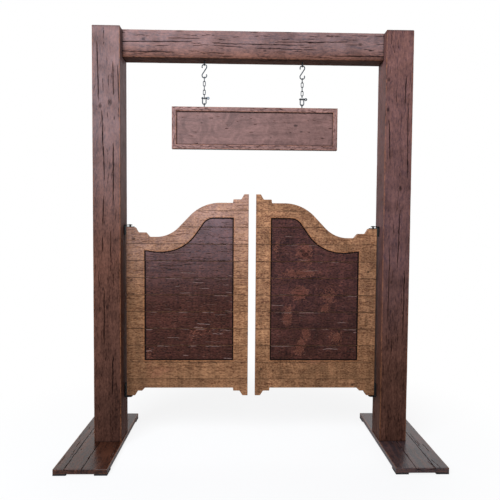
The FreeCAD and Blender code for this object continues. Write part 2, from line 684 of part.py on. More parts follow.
def base_board(tools):
    """Flat board under a post, its length running front to back."""
    board = block(BASE_INNER, BASE_INNER + BASE_WIDTH, BASE_FRONT, BASE_FRONT + BASE_LENGTH,
                  PAD_THICK, BASE_TOP)
    board = board.makeChamfer(BASE_ARRIS, [edge for edge in board.Edges
                                           if edge.CenterOfMass.z > BASE_TOP - 1])
    return drilled(board, tools)


def base_pads():
    """Rubber pads flush with the four corners of the right base board."""
    pads = []
    for x in (BASE_INNER, BASE_INNER + BASE_WIDTH - PAD_SIDE):
        for y in (BASE_FRONT, BASE_FRONT + BASE_LENGTH - PAD_SIDE):
            pad = block(x, x + PAD_SIDE, y, y + PAD_SIDE, 0, PAD_THICK)
            pads.append(pad.makeChamfer(PAD_ARRIS, edges_along(pad, ALONG_Z, PAD_THICK - 0.01)))
    return pads


# ---------------------------------------------------------------- hanging hardware
def screw_eye(seat, way, ring_radius):
    """Ring across the doorway's depth on a shank that enters the timber at seat.

    way is +1 where the shank goes up and -1 where it goes down.
    """
    up = ALONG_Z * way
    middle = seat - up * (EYE_NECK + EYE_WIRE + ring_radius)
    ring = Part.makeTorus(ring_radius, EYE_WIRE, middle, ALONG_X)
    shank = rod(middle + up * ring_radius, up, EYE_NECK + EYE_WIRE + EYE_SHANK, EYE_WIRE)
    collar = rod(seat - up * EYE_COLLAR_THICK, up, EYE_COLLAR_THICK, EYE_COLLAR_RADIUS)
    return ring.fuse([shank, collar]).removeSplitter()


def swept_wire(edges, radius):
    """Round wire along a path, with flat ends."""
    path = Part.Wire(edges)
    start = path.Edges[0]
    ahead = start.tangentAt(start.FirstParameter)
    section = Part.Wire(Part.makeCircle(radius, start.valueAt(start.FirstParameter), ahead))
    return path.makePipeShell([section], True, True)


def s_hook(x):
    """Two loops joined by a slanted straight; each loop stays open past its widest place."""
    offset = HOOK_HEIGHT / 2 - HOOK_LOOP
    middle_z = (HOOK_TOP + HOOK_BOTTOM) / 2
    slant = math.degrees(math.asin(HOOK_LOOP / offset))

    def point(way, degrees):
        angle = math.radians(degrees)
        along = HOOK_LOOP * math.cos(angle)
        up = offset + HOOK_LOOP * math.sin(angle)
        return Vector(x + way * along, DOOR_LINE, middle_z + way * up)

    tip = 2 * 90 + HOOK_MOUTH
    upper = Part.Arc(point(1, tip), point(1, 90), point(1, -slant)).toShape()
    slope = Part.makeLine(point(1, -slant), point(-1, -slant))
    lower = Part.Arc(point(-1, -slant), point(-1, 90), point(-1, tip)).toShape()
    return swept_wire([upper, slope, lower], HOOK_WIRE)


def chain_link(x, top, facing_front):
    """Round-ended link hanging from the middle of its top wire."""
    across = ALONG_X if facing_front else ALONG_Y
    normal = ALONG_Y if facing_front else ALONG_X
    upper = Vector(x, DOOR_LINE, top - LINK_BEND)
    lower = upper - ALONG_Z * LINK_STRAIGHT
    parts = [rod(lower + across * side * LINK_BEND, ALONG_Z, LINK_STRAIGHT, LINK_WIRE)
             for side in (-1, 1)]
    for centre, way in ((upper, 1), (lower, -1)):
        ring = Part.makeTorus(LINK_BEND, LINK_WIRE, centre, normal)
        reach = LINK_BEND + LINK_WIRE + 1
        half = block(centre.x - reach, centre.x + reach, centre.y - reach, centre.y + reach,
                     min(centre.z, centre.z + way * reach), max(centre.z, centre.z + way * reach))
        parts.append(ring.common(half))
    return parts[0].fuse(parts[1:]).removeSplitter()


def chain(x):
    """Links in turn edge-on and flat-on, the first and last edge-on to the front."""
    return group([chain_link(x, CHAIN_TOP - index * LINK_PITCH, index % 2 == 1)
                  for index in range(LINK_COUNT)])


def shackle(x):
    """Bow through the sign's eye and a screw pin through the last link."""
    pin_z = SHACKLE_PIN_Z
    bow_z = SHACKLE_BOTTOM + SHACKLE_BOW
    radius = SHACKLE_BOW

    def point(dx, z):
        return Vector(x + dx, DOOR_LINE, z)

    bow = swept_wire([Part.makeLine(point(-radius, pin_z), point(-radius, bow_z)),
                      Part.Arc(point(-radius, bow_z), point(0, SHACKLE_BOTTOM),
                               point(radius, bow_z)).toShape(),
                      Part.makeLine(point(radius, bow_z), point(radius, pin_z))], SHACKLE_WIRE)
    ears = [rod(point(side * radius - SHACKLE_EAR_LENGTH / 2, pin_z), ALONG_X,
                SHACKLE_EAR_LENGTH, SHACKLE_EAR_RADIUS) for side in (-1, 1)]
    ear_outside = radius + SHACKLE_EAR_LENGTH / 2
    pin_start = point(-ear_outside - SHACKLE_PIN_END, pin_z)
    tab_middle = ear_outside + SHACKLE_TAB_RADIUS
    pin = rod(pin_start, ALONG_X, 2 * ear_outside + SHACKLE_PIN_END, SHACKLE_PIN_RADIUS)
    tab_face = point(tab_middle, pin_z) - ALONG_Y * (SHACKLE_TAB_THICK / 2)
    tab = rod(tab_face, ALONG_Y, SHACKLE_TAB_THICK, SHACKLE_TAB_RADIUS)
    hole = rod(tab_face, ALONG_Y, SHACKLE_TAB_THICK, SHACKLE_TAB_HOLE)
    neck = rod(point(ear_outside, pin_z), ALONG_X, SHACKLE_PIN_RADIUS, SHACKLE_PIN_RADIUS)
    screw_pin = pin.fuse([neck, tab]).removeSplitter().cut(hole)
    body = bow.fuse(ears).removeSplitter().cut(screw_pin)
    return group([body, screw_pin])


# ---------------------------------------------------------------- sign
def sign_batten(corners, groove_tool):
    """Batten from the four (x, z) corners of its mitred face, grooved for the panel."""
    points = [Vector(x, DOOR_LINE - BATTEN_DEPTH / 2, z) for x, z in corners]
    batten = Part.Face(Part.makePolygon(points + points[:1])).extrude(Vector(0, BATTEN_DEPTH, 0))
    length = max(edge.Length for edge in batten.Edges)
    long_edges = [edge for edge in batten.Edges if edge.Length > length - 3 * BATTEN_WIDTH]
    return batten.makeChamfer(BATTEN_ARRIS, long_edges).cut(groove_tool)


def sign_battens(groove_tool):
    """Top, bottom, left and right battens, mitred at the corners."""
    x0, x1, z0, z1 = SIGN_LEFT, SIGN_RIGHT, SIGN_BOTTOM, SIGN_TOP
    w = BATTEN_WIDTH
    outer = [(x0, z0), (x1, z0), (x1, z1), (x0, z1)]
    inner = [(x0 + w, z0 + w), (x1 - w, z0 + w), (x1 - w, z1 - w), (x0 + w, z1 - w)]
    names = ["sign_bottom_batten", "sign_right_batten", "sign_top_batten", "sign_left_batten"]
    battens = {}
    for index, name in enumerate(names):
        following = (index + 1) % 4
        corners = [outer[index], outer[following], inner[following], inner[index]]
        battens[name] = sign_batten(corners, groove_tool)
    return battens


def sign_panel_block(grow):
    """The panel's block, grown by a margin on its four edges."""
    inset = BATTEN_WIDTH - BATTEN_GROOVE - grow
    half = SIGN_PANEL_THICK / 2
    return block(SIGN_LEFT + inset, SIGN_RIGHT - inset, DOOR_LINE - half, DOOR_LINE + half,
                 SIGN_BOTTOM + inset, SIGN_TOP - inset)


# ---------------------------------------------------------------- assembly
def right_side_nodes():
    """Pieces of one side, by their name without the side."""
    leaf_fixings = leaf_screws()
    blank = drilled(leaf_blank(), leaf_mortises() + leaf_fixings)
    nodes = {f"board_{index + 1:02d}": board for index, board in enumerate(leaf_boards(blank))}
    nodes["top_socket"] = top_socket(leaf_fixings)
    nodes["spring_barrel"] = spring_barrel(leaf_fixings)
    nodes["spring"] = torsion_spring()
    nodes["leaf_screws"] = group(leaf_fixings)

    bottom_end = BOTTOM_ARM_TOP - BRACKET_THICK + BOTTOM_PLATE_HEIGHT
    top_end = TOP_ARM_UNDER + BRACKET_THICK - TOP_PLATE_HEIGHT
    bottom_screws = bracket_screws(bottom_end, -1, BOTTOM_BRACKET_SCREWS)
    top_screws = bracket_screws(top_end, 1, TOP_BRACKET_SCREWS)
    bottom_pin = pivot_pin(BOTTOM_ARM_TOP - BRACKET_THICK, LEAF_FLOOR_GAP + PIN_STAND)
    top_pin = pivot_pin(TOP_ARM_UNDER + BRACKET_THICK, HINGE_TOP_Z + SOCKET_PLATE_THICK - SOCKET_PIN_DEPTH)
    nodes["bottom_bracket"] = bracket((BOTTOM_ARM_TOP - BRACKET_THICK, BOTTOM_ARM_TOP), bottom_end,
                                      bottom_screws, bottom_pin)
    nodes["top_bracket"] = bracket((TOP_ARM_UNDER + BRACKET_THICK, TOP_ARM_UNDER), top_end,
                                   top_screws, top_pin)

    lags = base_lag_screws() + lintel_lag_screws()
    nodes["post"] = post(lags + counterbores() + bottom_screws + top_screws)
    nodes["base_board"] = base_board(lags + counterbores())
    shared = {"bracket_screws": bottom_screws + top_screws, "bottom_pins": [bottom_pin],
              "top_pins": [top_pin], "thrust_washers": [thrust_washer()], "lag_screws": lags,
              "base_pads": base_pads()}
    return nodes, shared


def hanging_nodes():
    """The sign and what it hangs from, and the eyes that enter the lintel."""
    lintel_eyes = [screw_eye(Vector(x, DOOR_LINE, LINTEL_UNDERSIDE), 1, EYE_LINTEL_RING)
                   for x in (-CHAIN_X, CHAIN_X)]
    sign_eyes = [screw_eye(Vector(x, DOOR_LINE, SIGN_TOP), -1, EYE_SIGN_RING)
                 for x in (-CHAIN_X, CHAIN_X)]
    nodes = {"lintel_eyes": group(lintel_eyes), "sign_eyes": group(sign_eyes)}
    for side, x in (("left", -CHAIN_X), ("right", CHAIN_X)):
        nodes[f"{side}_s_hook"] = s_hook(x)
        nodes[f"{side}_chain"] = chain(x)
        nodes[f"{side}_shackle"] = shackle(x)
    battens = sign_battens(sign_panel_block(PANEL_PLAY))
    for name, batten in battens.items():
        nodes[name] = drilled(batten, sign_eyes) if name == "sign_top_batten" else batten
    nodes["sign_panel"] = drilled(sign_panel_block(0), sign_eyes)
    return nodes, lintel_eyes


def all_nodes():
    """Every node of the doors by name."""
    side_nodes, shared = right_side_nodes()
    nodes = {}
    for name, shape in side_nodes.items():
        nodes["right_" + name] = shape
        nodes["left_" + name] = mirrored(shape)
    for name, shapes in shared.items():
        nodes[name] = group(shapes + [mirrored(shape) for shape in shapes])
    hanging, lintel_eyes = hanging_nodes()
    nodes.update(hanging)
    end_screws = lintel_lag_screws()
    nodes["lintel"] = lintel(end_screws + [mirrored(screw) for screw in end_screws] + lintel_eyes)
    return nodes


def write_nodes():
    """Write one STEP file for each node."""
    os.makedirs("parts", exist_ok=True)
    for name, shape in sorted(all_nodes().items()):
        solids = shape.Solids
        if not solids or not shape.isValid():
            raise RuntimeError(f"{name} is not a valid solid")
        result = solids[0] if len(solids) == 1 else Part.makeCompound(solids)
        result.exportStep(f"parts/{name}.step")
        print(name, len(solids), round(result.Volume / 1000, 1), "cm3")


write_nodes()
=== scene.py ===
"""Cafe swinging doors: the worn timber, black pivots, bright chain and studio stage.

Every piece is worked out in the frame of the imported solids: +X runs across the doorway, +Y goes
through it and +Z is up. Pieces are in millimetres, and MM turns them to metres. The stage, the
camera and the scales of the materials' patterns are in metres.
"""
import itertools
import math

import bpy
import numpy as np
from mathutils import Matrix, Vector


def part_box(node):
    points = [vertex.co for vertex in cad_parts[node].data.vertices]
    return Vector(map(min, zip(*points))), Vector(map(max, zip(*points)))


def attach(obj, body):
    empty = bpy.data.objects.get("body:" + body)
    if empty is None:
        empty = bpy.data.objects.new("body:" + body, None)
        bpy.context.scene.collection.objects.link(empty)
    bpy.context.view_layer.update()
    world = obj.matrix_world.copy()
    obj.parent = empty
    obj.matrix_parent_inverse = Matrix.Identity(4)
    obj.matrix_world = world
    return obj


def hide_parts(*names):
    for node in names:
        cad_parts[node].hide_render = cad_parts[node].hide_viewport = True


bl_info = {
    "name": "Cafe swinging doors",
    "version": (1, 0, 0),
    "blender": (4, 5, 0),
    "location": "3D View > Sidebar > Cafe Doors",
    "description": "Worn timber leaves, frame and hanging sign over the packed solids",
    "category": "Add Mesh",
}

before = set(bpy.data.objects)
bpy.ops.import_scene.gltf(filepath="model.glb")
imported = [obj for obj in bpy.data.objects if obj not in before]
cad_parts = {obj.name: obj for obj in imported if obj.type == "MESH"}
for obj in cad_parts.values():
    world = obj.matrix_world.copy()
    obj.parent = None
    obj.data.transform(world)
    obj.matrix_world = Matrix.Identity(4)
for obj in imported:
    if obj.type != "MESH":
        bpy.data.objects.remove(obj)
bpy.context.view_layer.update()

MM = 0.001
SIDES = ("left", "right")


# ---------------------------------------------------------------- places read from the frame
def corners(node):
    """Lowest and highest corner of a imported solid, in millimetres."""
    low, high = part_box(node)
    return np.array(low) / MM, np.array(high) / MM


POST_LOW, POST_HIGH = corners("right_post")
LINTEL_LOW, LINTEL_HIGH = corners("lintel")
BASE_LOW, BASE_HIGH = corners("right_base_board")
BOARD_LOW, BOARD_HIGH = corners("right_board_05")
TIP_TOP = corners("right_board_12")[1][2]
FOOT = corners("right_board_01")[0][2]
SIGN_TOP = corners("sign_top_batten")[1][2]
PANEL_LOW, PANEL_HIGH = corners("sign_panel")
HOOK_LOW, HOOK_HIGH = corners("right_s_hook")
CHAIN_LOW, CHAIN_HIGH = corners("right_chain")
SHACKLE_LOW, SHACKLE_HIGH = corners("right_shackle")

DOOR_LINE = (BOARD_LOW[1] + BOARD_HIGH[1]) / 2
LEAF_INNER = BOARD_LOW[0]
LEAF_WIDTH = BOARD_HIGH[0] - BOARD_LOW[0]
LEAF_HALF = (BOARD_HIGH[1] - BOARD_LOW[1]) / 2
CHAIN_X = (CHAIN_LOW[0] + CHAIN_HIGH[0]) / 2

# ---------------------------------------------------------------- leaf outline, in from each edge
TIP_HEIGHT = TIP_TOP - FOOT
HINGE_HEIGHT = 959.0
TIP_SHELF = TIP_HEIGHT - 29.0
SHOULDER = TIP_SHELF - 20.0
HINGE_SHELF = HINGE_HEIGHT - 29.0
VALLEY = HINGE_SHELF - 25.0
FOOT_SHELF = 27.0
BELLY = FOOT_SHELF + 17.0
TIP_RUNS = (22.0, 24.0, 38.0, 8.0, 68.0)
HORN_RUNS = (43.0, 25.0, 36.0, 28.0, 33.0)
LOCK_FOOT_RUNS = (26.0, 24.0, 30.0, 6.0)
HINGE_FOOT_RUNS = (43.0, 23.0, 18.0, 21.0)
STEP_CURVE = (0.55, 0.5)
SWEEP_CURVE = (0.95, 0.57)

FIELD_LOCK = 84.0
FIELD_HINGE = LEAF_WIDTH - 101.0
FIELD_FOOT = BELLY + 159.0
FIELD_SHOULDER = SHOULDER - 84.0
FIELD_VALLEY = VALLEY - 83.0
FIELD_CORNER = FIELD_VALLEY + 7.0
FIELD_SHOULDER_RUN = 111.0
FIELD_FLICK_RUN = 72.0
FIELD_VALLEY_RUN = 25.0
FIELD_CURVES = ((0.95, 0.25), (0.95, 0.5))
GROOVE_MARKS = (0.0, 1.0, 5.0, 6.0)    # outer wall's rim and foot, inner wall's foot and rim

LOWER_BOARDS = 10
LAST_BOARD = LOWER_BOARDS + 2
JOINT_OVER_HINGE = 4.0
OUTLINE_ARRIS = 3.0
JOINT_ARRIS = (3.6, 1.6)        # into the thickness, along the face
FLANGE_ROOM = (41.0, 2.0, 3.1)  # flange in the foot: from and to the hinge edge, and its depth
BOARD_PITCH, SWEEP_PITCH = 4.0, 2.5     # grid along a board, and where the groove's sweep crosses
ROW_PITCH = 2.1                 # grid across a board
TEAR_DEPTH = 1.4

# ---------------------------------------------------------------- hanging gear
EYE_WIRE = 2.5
EYE_COLLAR = (5.0, 1.5)
EYE_SHANK = 30.0
LINTEL_EYE_RING = 9.5
SIGN_EYE_RING = 8.5
EYE_NECK = 3.0
HOOK_WIRE = 3.0
HOOK_LOOP = 13.0
HOOK_MOUTH = 20.0
LINK_WIRE = 2.0
LINK_BEND = 6.0
LINK_STRAIGHT = 16.0
LINK_COUNT = 5
WELD_SWELL = (0.14, 1.3)        # share of the wire's radius, and half length
SHACKLE_WIRE = 3.0
SHACKLE_BOW = 10.0
SHACKLE_EAR = (6.5, 7.0)
SHACKLE_TAB = (8.0, 3.0, 2.5)
SHACKLE_PIN = 3.0
SHACKLE_PIN_END = 2.5


# ---------------------------------------------------------------- settings
def tone(code):
    """Linear colour of an sRGB hex code such as #7A5A44."""
    levels = [int(code[i:i + 2], 16) / 255 for i in (1, 3, 5)]
    return tuple(v / 12.92 if v <= 0.04045 else ((v + 0.055) / 1.055) ** 2.4 for v in levels)


def colour_setting(title, text, code):
    """A colour that the panel shows."""
    return bpy.props.FloatVectorProperty(name=title, description=text, subtype="COLOR", size=3,
                                         min=0, max=1, default=tone(code))


def length_setting(title, text, size):
    """A length that the panel shows, from its millimetres."""
    return bpy.props.FloatProperty(name=title, description=text, default=size * MM,
                                   unit="LENGTH", precision=4)


class TimberColours(bpy.types.PropertyGroup):
    """Stain and wear colours of the timbers."""

    frame_dark: colour_setting("Frame dark grain", "Late wood of posts and lintel", "#2A140F")
    frame_light: colour_setting("Frame light grain", "Early wood of posts and lintel", "#7C5344")
    base_dark: colour_setting("Base dark grain", "Late wood of the base boards", "#22100C")
    base_light: colour_setting("Base light grain", "Early wood of the base boards", "#4C2C1F")
    leaf_dark: colour_setting("Leaf dark grain", "Late wood of the leaves' border", "#5F3A27")
    leaf_light: colour_setting("Leaf light grain", "Early wood of the leaves' border", "#AD7F5A")
    field_dark: colour_setting("Field dark grain", "Late wood of the sunk fields", "#1C0C0A")
    field_light: colour_setting("Field light grain", "Early wood of the sunk fields", "#5A342B")
    sign_dark: colour_setting("Sign dark grain", "Late wood of the sign", "#523834")
    sign_light: colour_setting("Sign light grain", "Early wood of the sign", "#886760")
    # this colour also lays the painted shadow lines at the frame's joints and inside the sign's
    # battens
    check: colour_setting("Checks", "Inside of drying cracks", "#0D0607")
    # this colour also lays a painted highlight along each field's groove rim
    rubbed: colour_setting("Rubbed edges", "Wood where the stain has worn off", "#A4683F")


class TimberRelief(bpy.types.PropertyGroup):
    """Depths of the timber's relief."""

    leaf_groove: length_setting("Groove depth", "Groove round each field", 6)
    leaf_sink: length_setting("Field sink", "Field under its border", 2.5)
    leaf_step: length_setting("Board step", "Most that a board lies back", 0.5)
    post_arris: length_setting("Post arris", "Worn radius of the long edges", 4)
    check_depth: length_setting("Check depth", "Depth of the long checks", 5)


class StudioStage(bpy.types.PropertyGroup):
    """Light and floor."""

    key_power: bpy.props.FloatProperty(
        name="Key light", description="Power of the front softbox, in W", default=170, min=0)
    side_power: bpy.props.FloatProperty(
        name="Side light", description="Power of each side softbox, in W", default=14, min=0)
    fill: bpy.props.FloatProperty(
        name="Room light", description="Level of the pale room", default=0.22, min=0, max=1)
    floor_radius: bpy.props.FloatProperty(
        name="Floor radius", description="Radius of the pale floor", default=14, unit="LENGTH")


# ---------------------------------------------------------------- meshes from grids
def tube(points, attributes=None, closed=False):
    """A closed skin over a grid of points (along, around, xyz).

    Each row of the grid is a loop that runs anticlockwise as seen from the end. Neighbouring rows
    are joined by quads. An open tube gets a middle point at each end, with a fan of triangles to
    the last loop.
    """
    along, around = points.shape[:2]
    rows = np.arange(along if closed else along - 1)[:, None]
    here = np.arange(around)[None]
    nxt = (here + 1) % around
    following = (rows + 1) % along
    quads = np.stack([rows * around + here, rows * around + nxt, following * around + nxt,
                      following * around + here], -1).reshape(-1, 4)
    verts = points.reshape(-1, 3)
    values = {name: np.broadcast_to(grid, (along, around)).ravel()
              for name, grid in (attributes or {}).items()}
    tris = np.zeros((0, 3), int)
    if not closed:
        ends = np.stack([points[0].mean(0), points[-1].mean(0)])
        first = np.arange(around)
        after = (first + 1) % around
        last = (along - 1) * around
        count = along * around
        start_fan = np.stack([np.full(around, count), after, first], -1)
        end_fan = np.stack([np.full(around, count + 1), last + first, last + after], -1)
        verts = np.concatenate([verts, ends])
        tris = np.concatenate([start_fan, end_fan])
        values = {name: np.concatenate([v, [v[:around].mean(), v[-around:].mean()]])
                  for name, v in values.items()}
    return verts, quads, tris, values


def flipped(skin):
    """The skin mirrored from the right side to the left, its faces turned to point outwards."""
    verts, quads, tris, values = skin
    return verts * (-1, 1, 1), quads[:, ::-1], tris[:, ::-1], values


def skinned_mesh(name, skins):
    """One mesh from several skins, in metres, with their attributes."""
    mesh = bpy.data.meshes.new(name)
    offsets = np.cumsum([0] + [len(skin[0]) for skin in skins])
    verts = np.concatenate([skin[0] for skin in skins]) * MM
    quads = np.concatenate([skin[1] + start for skin, start in zip(skins, offsets)])
    tris = np.concatenate([skin[2] + start for skin, start in zip(skins, offsets)])
    mesh.vertices.add(len(verts))
    mesh.vertices.foreach_set("co", verts.astype(np.float32).ravel())
    mesh.loops.add(4 * len(quads) + 3 * len(tris))
    loops = np.concatenate([quads.ravel(), tris.ravel()])
    mesh.loops.foreach_set("vertex_index", loops.astype(np.int32))
    starts = np.concatenate([4 * np.arange(len(quads)),
                             4 * len(quads) + 3 * np.arange(len(tris))])
    mesh.polygons.add(len(starts))
    mesh.polygons.foreach_set("loop_start", starts.astype(np.int32))
    mesh.update(calc_edges=True)
    for key in sorted({key for skin in skins for key in skin[3]}):
        values = np.concatenate([skin[3].get(key, np.zeros(len(skin[0]))) for skin in skins])
        layer = mesh.attributes.new(key, "FLOAT", "POINT")
        layer.data.foreach_set("value", values.astype(np.float32))
    mesh.validate()
    return mesh


def piece(name, skins, material, body, nodes, sharp=40):
    """One object from several skins: its mesh, material, body and the solids it stands for."""
    mesh = skinned_mesh(name, skins)
    mesh.shade_smooth()
    mesh.set_sharp_from_angle(angle=math.radians(sharp))
    mesh.materials.append(material)
    thing = bpy.data.objects.new(name, mesh)
    bpy.context.scene.collection.objects.link(thing)
    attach(thing, body)
    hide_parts(*nodes)


def smooth(value, low, high):
    """0 below low, 1 above high and an even S between them."""
    share = np.clip((value - low) / (high - low), 0, 1)
    return share * share * (3 - 2 * share)


def bell(value, width):
    """Bell curve: 1 at 0 and 1/e a width away."""
    return np.exp(-(value / width) ** 2)


def wedge(value, width):
    """1 at 0, falling evenly to 0 a width away on either side."""
    return np.clip(1 - np.abs(value) / width, 0, 1)


def quarter_ease(reach, steps=4):
    """Places over an arris: the run of a quarter circle at even angles."""
    return reach * (1 - np.cos(np.linspace(0, math.pi / 2, steps)))


CROWDED = 0.3       # share of the pitch at which an even place gives way to a kept one


def places(low, high, pitch, kept=()):
    """Places from low to high about a pitch apart, with the kept ones among them."""
    even = np.linspace(low, high, max(2, round((high - low) / pitch) + 1))
    kept = np.array([k for k in kept if low < k < high])
    if len(kept):
        far = np.abs(even[:, None] - kept[None]).min(1) > CROWDED * pitch
        far[[0, -1]] = True
        even = even[far]
    return np.unique(np.concatenate([even, kept]))


LATTICE = (97, 89)                  # cells before the random levels of patches repeat
CRACK_LATTICE = (61, 59)            # the same for cracks
CRACK_WANDER = ((5.0, 17, 40), (9.0, 70, 90))   # how far a crack's line strays, over what sizes
CRACK_RAGGED = (6, 7)               # size of the swellings in its width
CRACK_GLINT = (0.8, 2.4)              # how far beyond its edge the painted glint on its lip lies, and its half width
BRIGHT_ROLLS = (0.72, 0.96)         # rolls over which a crack's painted glint comes in


def patches(along, across, seed, size_along, size_across):
    """Smooth random field from 0 to 1: random levels on a lattice, eased from one to the next."""
    place_u, place_v = along / size_along, across / size_across
    cell_u, cell_v = np.floor(place_u).astype(int), np.floor(place_v).astype(int)
    share_u, share_v = smooth(place_u - cell_u, 0, 1), smooth(place_v - cell_v, 0, 1)
    levels = np.random.default_rng(seed).random(LATTICE)
    here_u, next_u = cell_u % LATTICE[0], (cell_u + 1) % LATTICE[0]
    low, high = (levels[here_u, row] * (1 - share_u) + levels[next_u, row] * share_u
                 for row in (cell_v % LATTICE[1], (cell_v + 1) % LATTICE[1]))
    return low * (1 - share_v) + high * share_v


def short_cracks(along, across, seed, cell, half_length, half_width, often):
    """Torn grain: short cracks along the grain, one at a random place in some cells of a lattice.

    A crack's line wanders with a random field. Its wedge is 1 on the line and falls evenly to 0 at
    the half width, which narrows to nothing at both ends as an ellipse does. The fringe is the
    same with twice the width, and the glint, on some cracks only, is a wedge along the lower side:
    a painted highlight on the lower lip.
    """
    rolls = np.random.default_rng(seed).random((*CRACK_LATTICE, 6))
    line = across
    for step, (stray, *sizes) in enumerate(CRACK_WANDER, 1):
        line = line + stray * (patches(along, across, seed + step, *sizes) - 0.5)
    rough = 0.5 + patches(along, across, seed + 3, *CRACK_RAGGED)
    cell_u, cell_v = (np.floor(along / cell[0]).astype(int), np.floor(line / cell[1]).astype(int))
    crack, fringe, lip = (np.zeros_like(line) for _ in range(3))
    for step_u, step_v in itertools.product((-1, 0, 1), repeat=2):
        roll = rolls[(cell_u + step_u) % CRACK_LATTICE[0], (cell_v + step_v) % CRACK_LATTICE[1]]
        ahead = along - (cell_u + step_u + roll[..., 0]) * cell[0]
        aside = line - (cell_v + step_v + roll[..., 1]) * cell[1]
        reach = half_length * (0.3 + 0.7 * roll[..., 2])
        narrow = np.sqrt(np.clip(1 - (ahead / reach) ** 2, 0, 1))
        wide = half_width * (0.5 + 0.5 * roll[..., 3]) * narrow * rough + 1e-6
        there = (roll[..., 4] < often) * (narrow > 0)
        crack = np.maximum(crack, there * wedge(aside, wide))
        fringe = np.maximum(fringe, there * wedge(aside, 2 * wide + 1))
        bright = smooth(roll[..., 5], *BRIGHT_ROLLS) * smooth(narrow, 0.2, 0.8)
        lip = np.maximum(lip, there * bright * wedge(aside + wide + CRACK_GLINT[0], CRACK_GLINT[1]))
    return crack, fringe, lip


KNOT_EYE = 1.5              # length of a knot's eye over its width
KNOT_BEND = (0.8, 3.2, 2.2)     # how far the grain gives way; the bell's length and width


def knotted(along, across, spots):
    """Knots at (along, across, size): their dark eyes, and how far the grain gives way to them.

    The eye is an ellipse, half as long again as wide. The grain moves off by its distance from the
    knot's line, times a bell curve about three sizes long and two wide.
    """
    eye, flow = np.zeros_like(along), np.zeros_like(along)
    bend, long, wide = KNOT_BEND
    for place_along, place_across, size in spots:
        ahead, aside = along - place_along, across - place_across
        off = np.hypot(ahead / KNOT_EYE, aside) / size
        rings = 0.75 + 0.25 * np.cos(9 * off)
        eye = np.maximum(eye, (1 - smooth(off, 0.45, 1.0)) * rings)
        flow = flow - bend * aside * bell(ahead, long * size) * bell(aside, wide * size)
    return eye, flow


# ---------------------------------------------------------------- frame timbers
def bar_section(half, pitch, kept, arc_steps=4):
    """Loop round a bar's section: sharp corner points, their pull to the rounded ones, the face.

    The rounded point is the sharp one plus the arris radius times the pull. Along each side the
    pull goes evenly from one arc's end to the next arc's start, so the side stays straight. kept
    holds, for each face, places across it that get a point of their own.
    """
    signs = np.array([(1, -1), (1, 1), (-1, 1), (-1, -1)], float)
    sharp, pull, side = [], [], []
    for face in range(4):
        start, end = signs[face], signs[(face + 1) % 4]
        turn = math.radians(90 * face)
        angles = np.linspace(turn - math.pi / 2, turn, arc_steps + 1)
        bend = np.stack([np.cos(angles), np.sin(angles)], -1)
        sharp.append(np.repeat((start * half)[None], arc_steps + 1, 0))
        pull.append(bend - start)
        side.append(np.full(arc_steps + 1, face))
        reach = half[1 - face % 2]
        share = (places(-reach, reach, pitch, kept.get(face, ())) / reach + 1) / 2
        share = np.sort(1 - share if face in (1, 2) else share)[1:-1, None]
        sharp.append((start * half) * (1 - share) + (end * half) * share)
        pull.append((bend[-1] - start) * (1 - share) + (bend[-1] - end) * share)
        side.append(np.full(len(share), face))
    return np.concatenate(sharp), np.concatenate(pull), np.concatenate(side)


BORE_ROOM = 5.0     # face round a bore that bends to its circle
BORE_RINGS = 17
BORE_LIP = 0.05     # run of a bore's wall
BORE_CORE = 0.4     # share of that run from which a point counts as inside
APART = 1000.0      # offset between faces in the random fields
ARRIS_WEAR = ((90, 1), (31, 1))     # sizes of the two fields that vary an arris
HOLLOW_SIZE = (230, 60)
TORN_SHARE = 0.6    # depth of short cracks over that of long checks
CHECK_TAPER = 7     # a check reaches its width a seventh of its length from each end
CHECK_JAG = 3.0
CHECK_HALF, FRINGE_HALF, FRINGE_SHARE = 0.5, 1.6, 0.7
RIM_EASE = 4        # faces sink from this far inside their rim
WEAR_REACH = 4      # how far rubbing reaches in from a rim
DARKEST = 2.2       # a crack is black from 1 / 2.2 of its depth
# reach of the dark line round a bar's ends, a painted contact shadow
END_SHADOW_REACH = 3
# reach and darkness of the line inside a rim, a painted shadow of the part that overlaps it
PAINTED_SHADOW_REACH, PAINTED_SHADOW_SHARE = 3.2, 0.9
SEED_SHIFT = 0.37   # how far apart the patterns of pieces with neighbouring seeds lie


def wall_places(middle, reach):
    """Both sides of a wall round a bore or groove, each with the short run in which it drops."""
    return middle + np.array([reach, reach - BORE_LIP, BORE_LIP - reach, -reach])


def long_checks(checks, length, across, side, seed):
    """Drying checks on a bar's faces: the wedge of each, and its wider fringe.

    A check's line drifts across the face from its start to its end and has random jags. Its width
    grows as the root of the distance from the nearer end, up to a limit, and varies at random.
    """
    crack, fringe = np.zeros_like(length), np.zeros_like(length)
    for face, place, drift, start, end, width in checks:
        share = np.clip((length - start) / (end - start), 0, 1)
        line = 0 * length + place
        taper = np.sqrt(np.clip(CHECK_TAPER * np.minimum(share, 1 - share), 0, 1))
        taper = taper * (0.55 + 0.6 * patches(length, line, seed + 8, 16, 9))
        jag = CHECK_JAG * (patches(length, line, seed + 9, 24, 7) - 0.5)
        off = across - (place + drift * (share - 0.5) + jag)
        on_face = side[None] == face
        crack = np.maximum(crack, wedge(off, CHECK_HALF * width * taper + 1e-6) * on_face)
        faint = FRINGE_SHARE * wedge(off, FRINGE_HALF * width * taper + 1e-6)
        fringe = np.maximum(fringe, faint * on_face)
    return crack, fringe


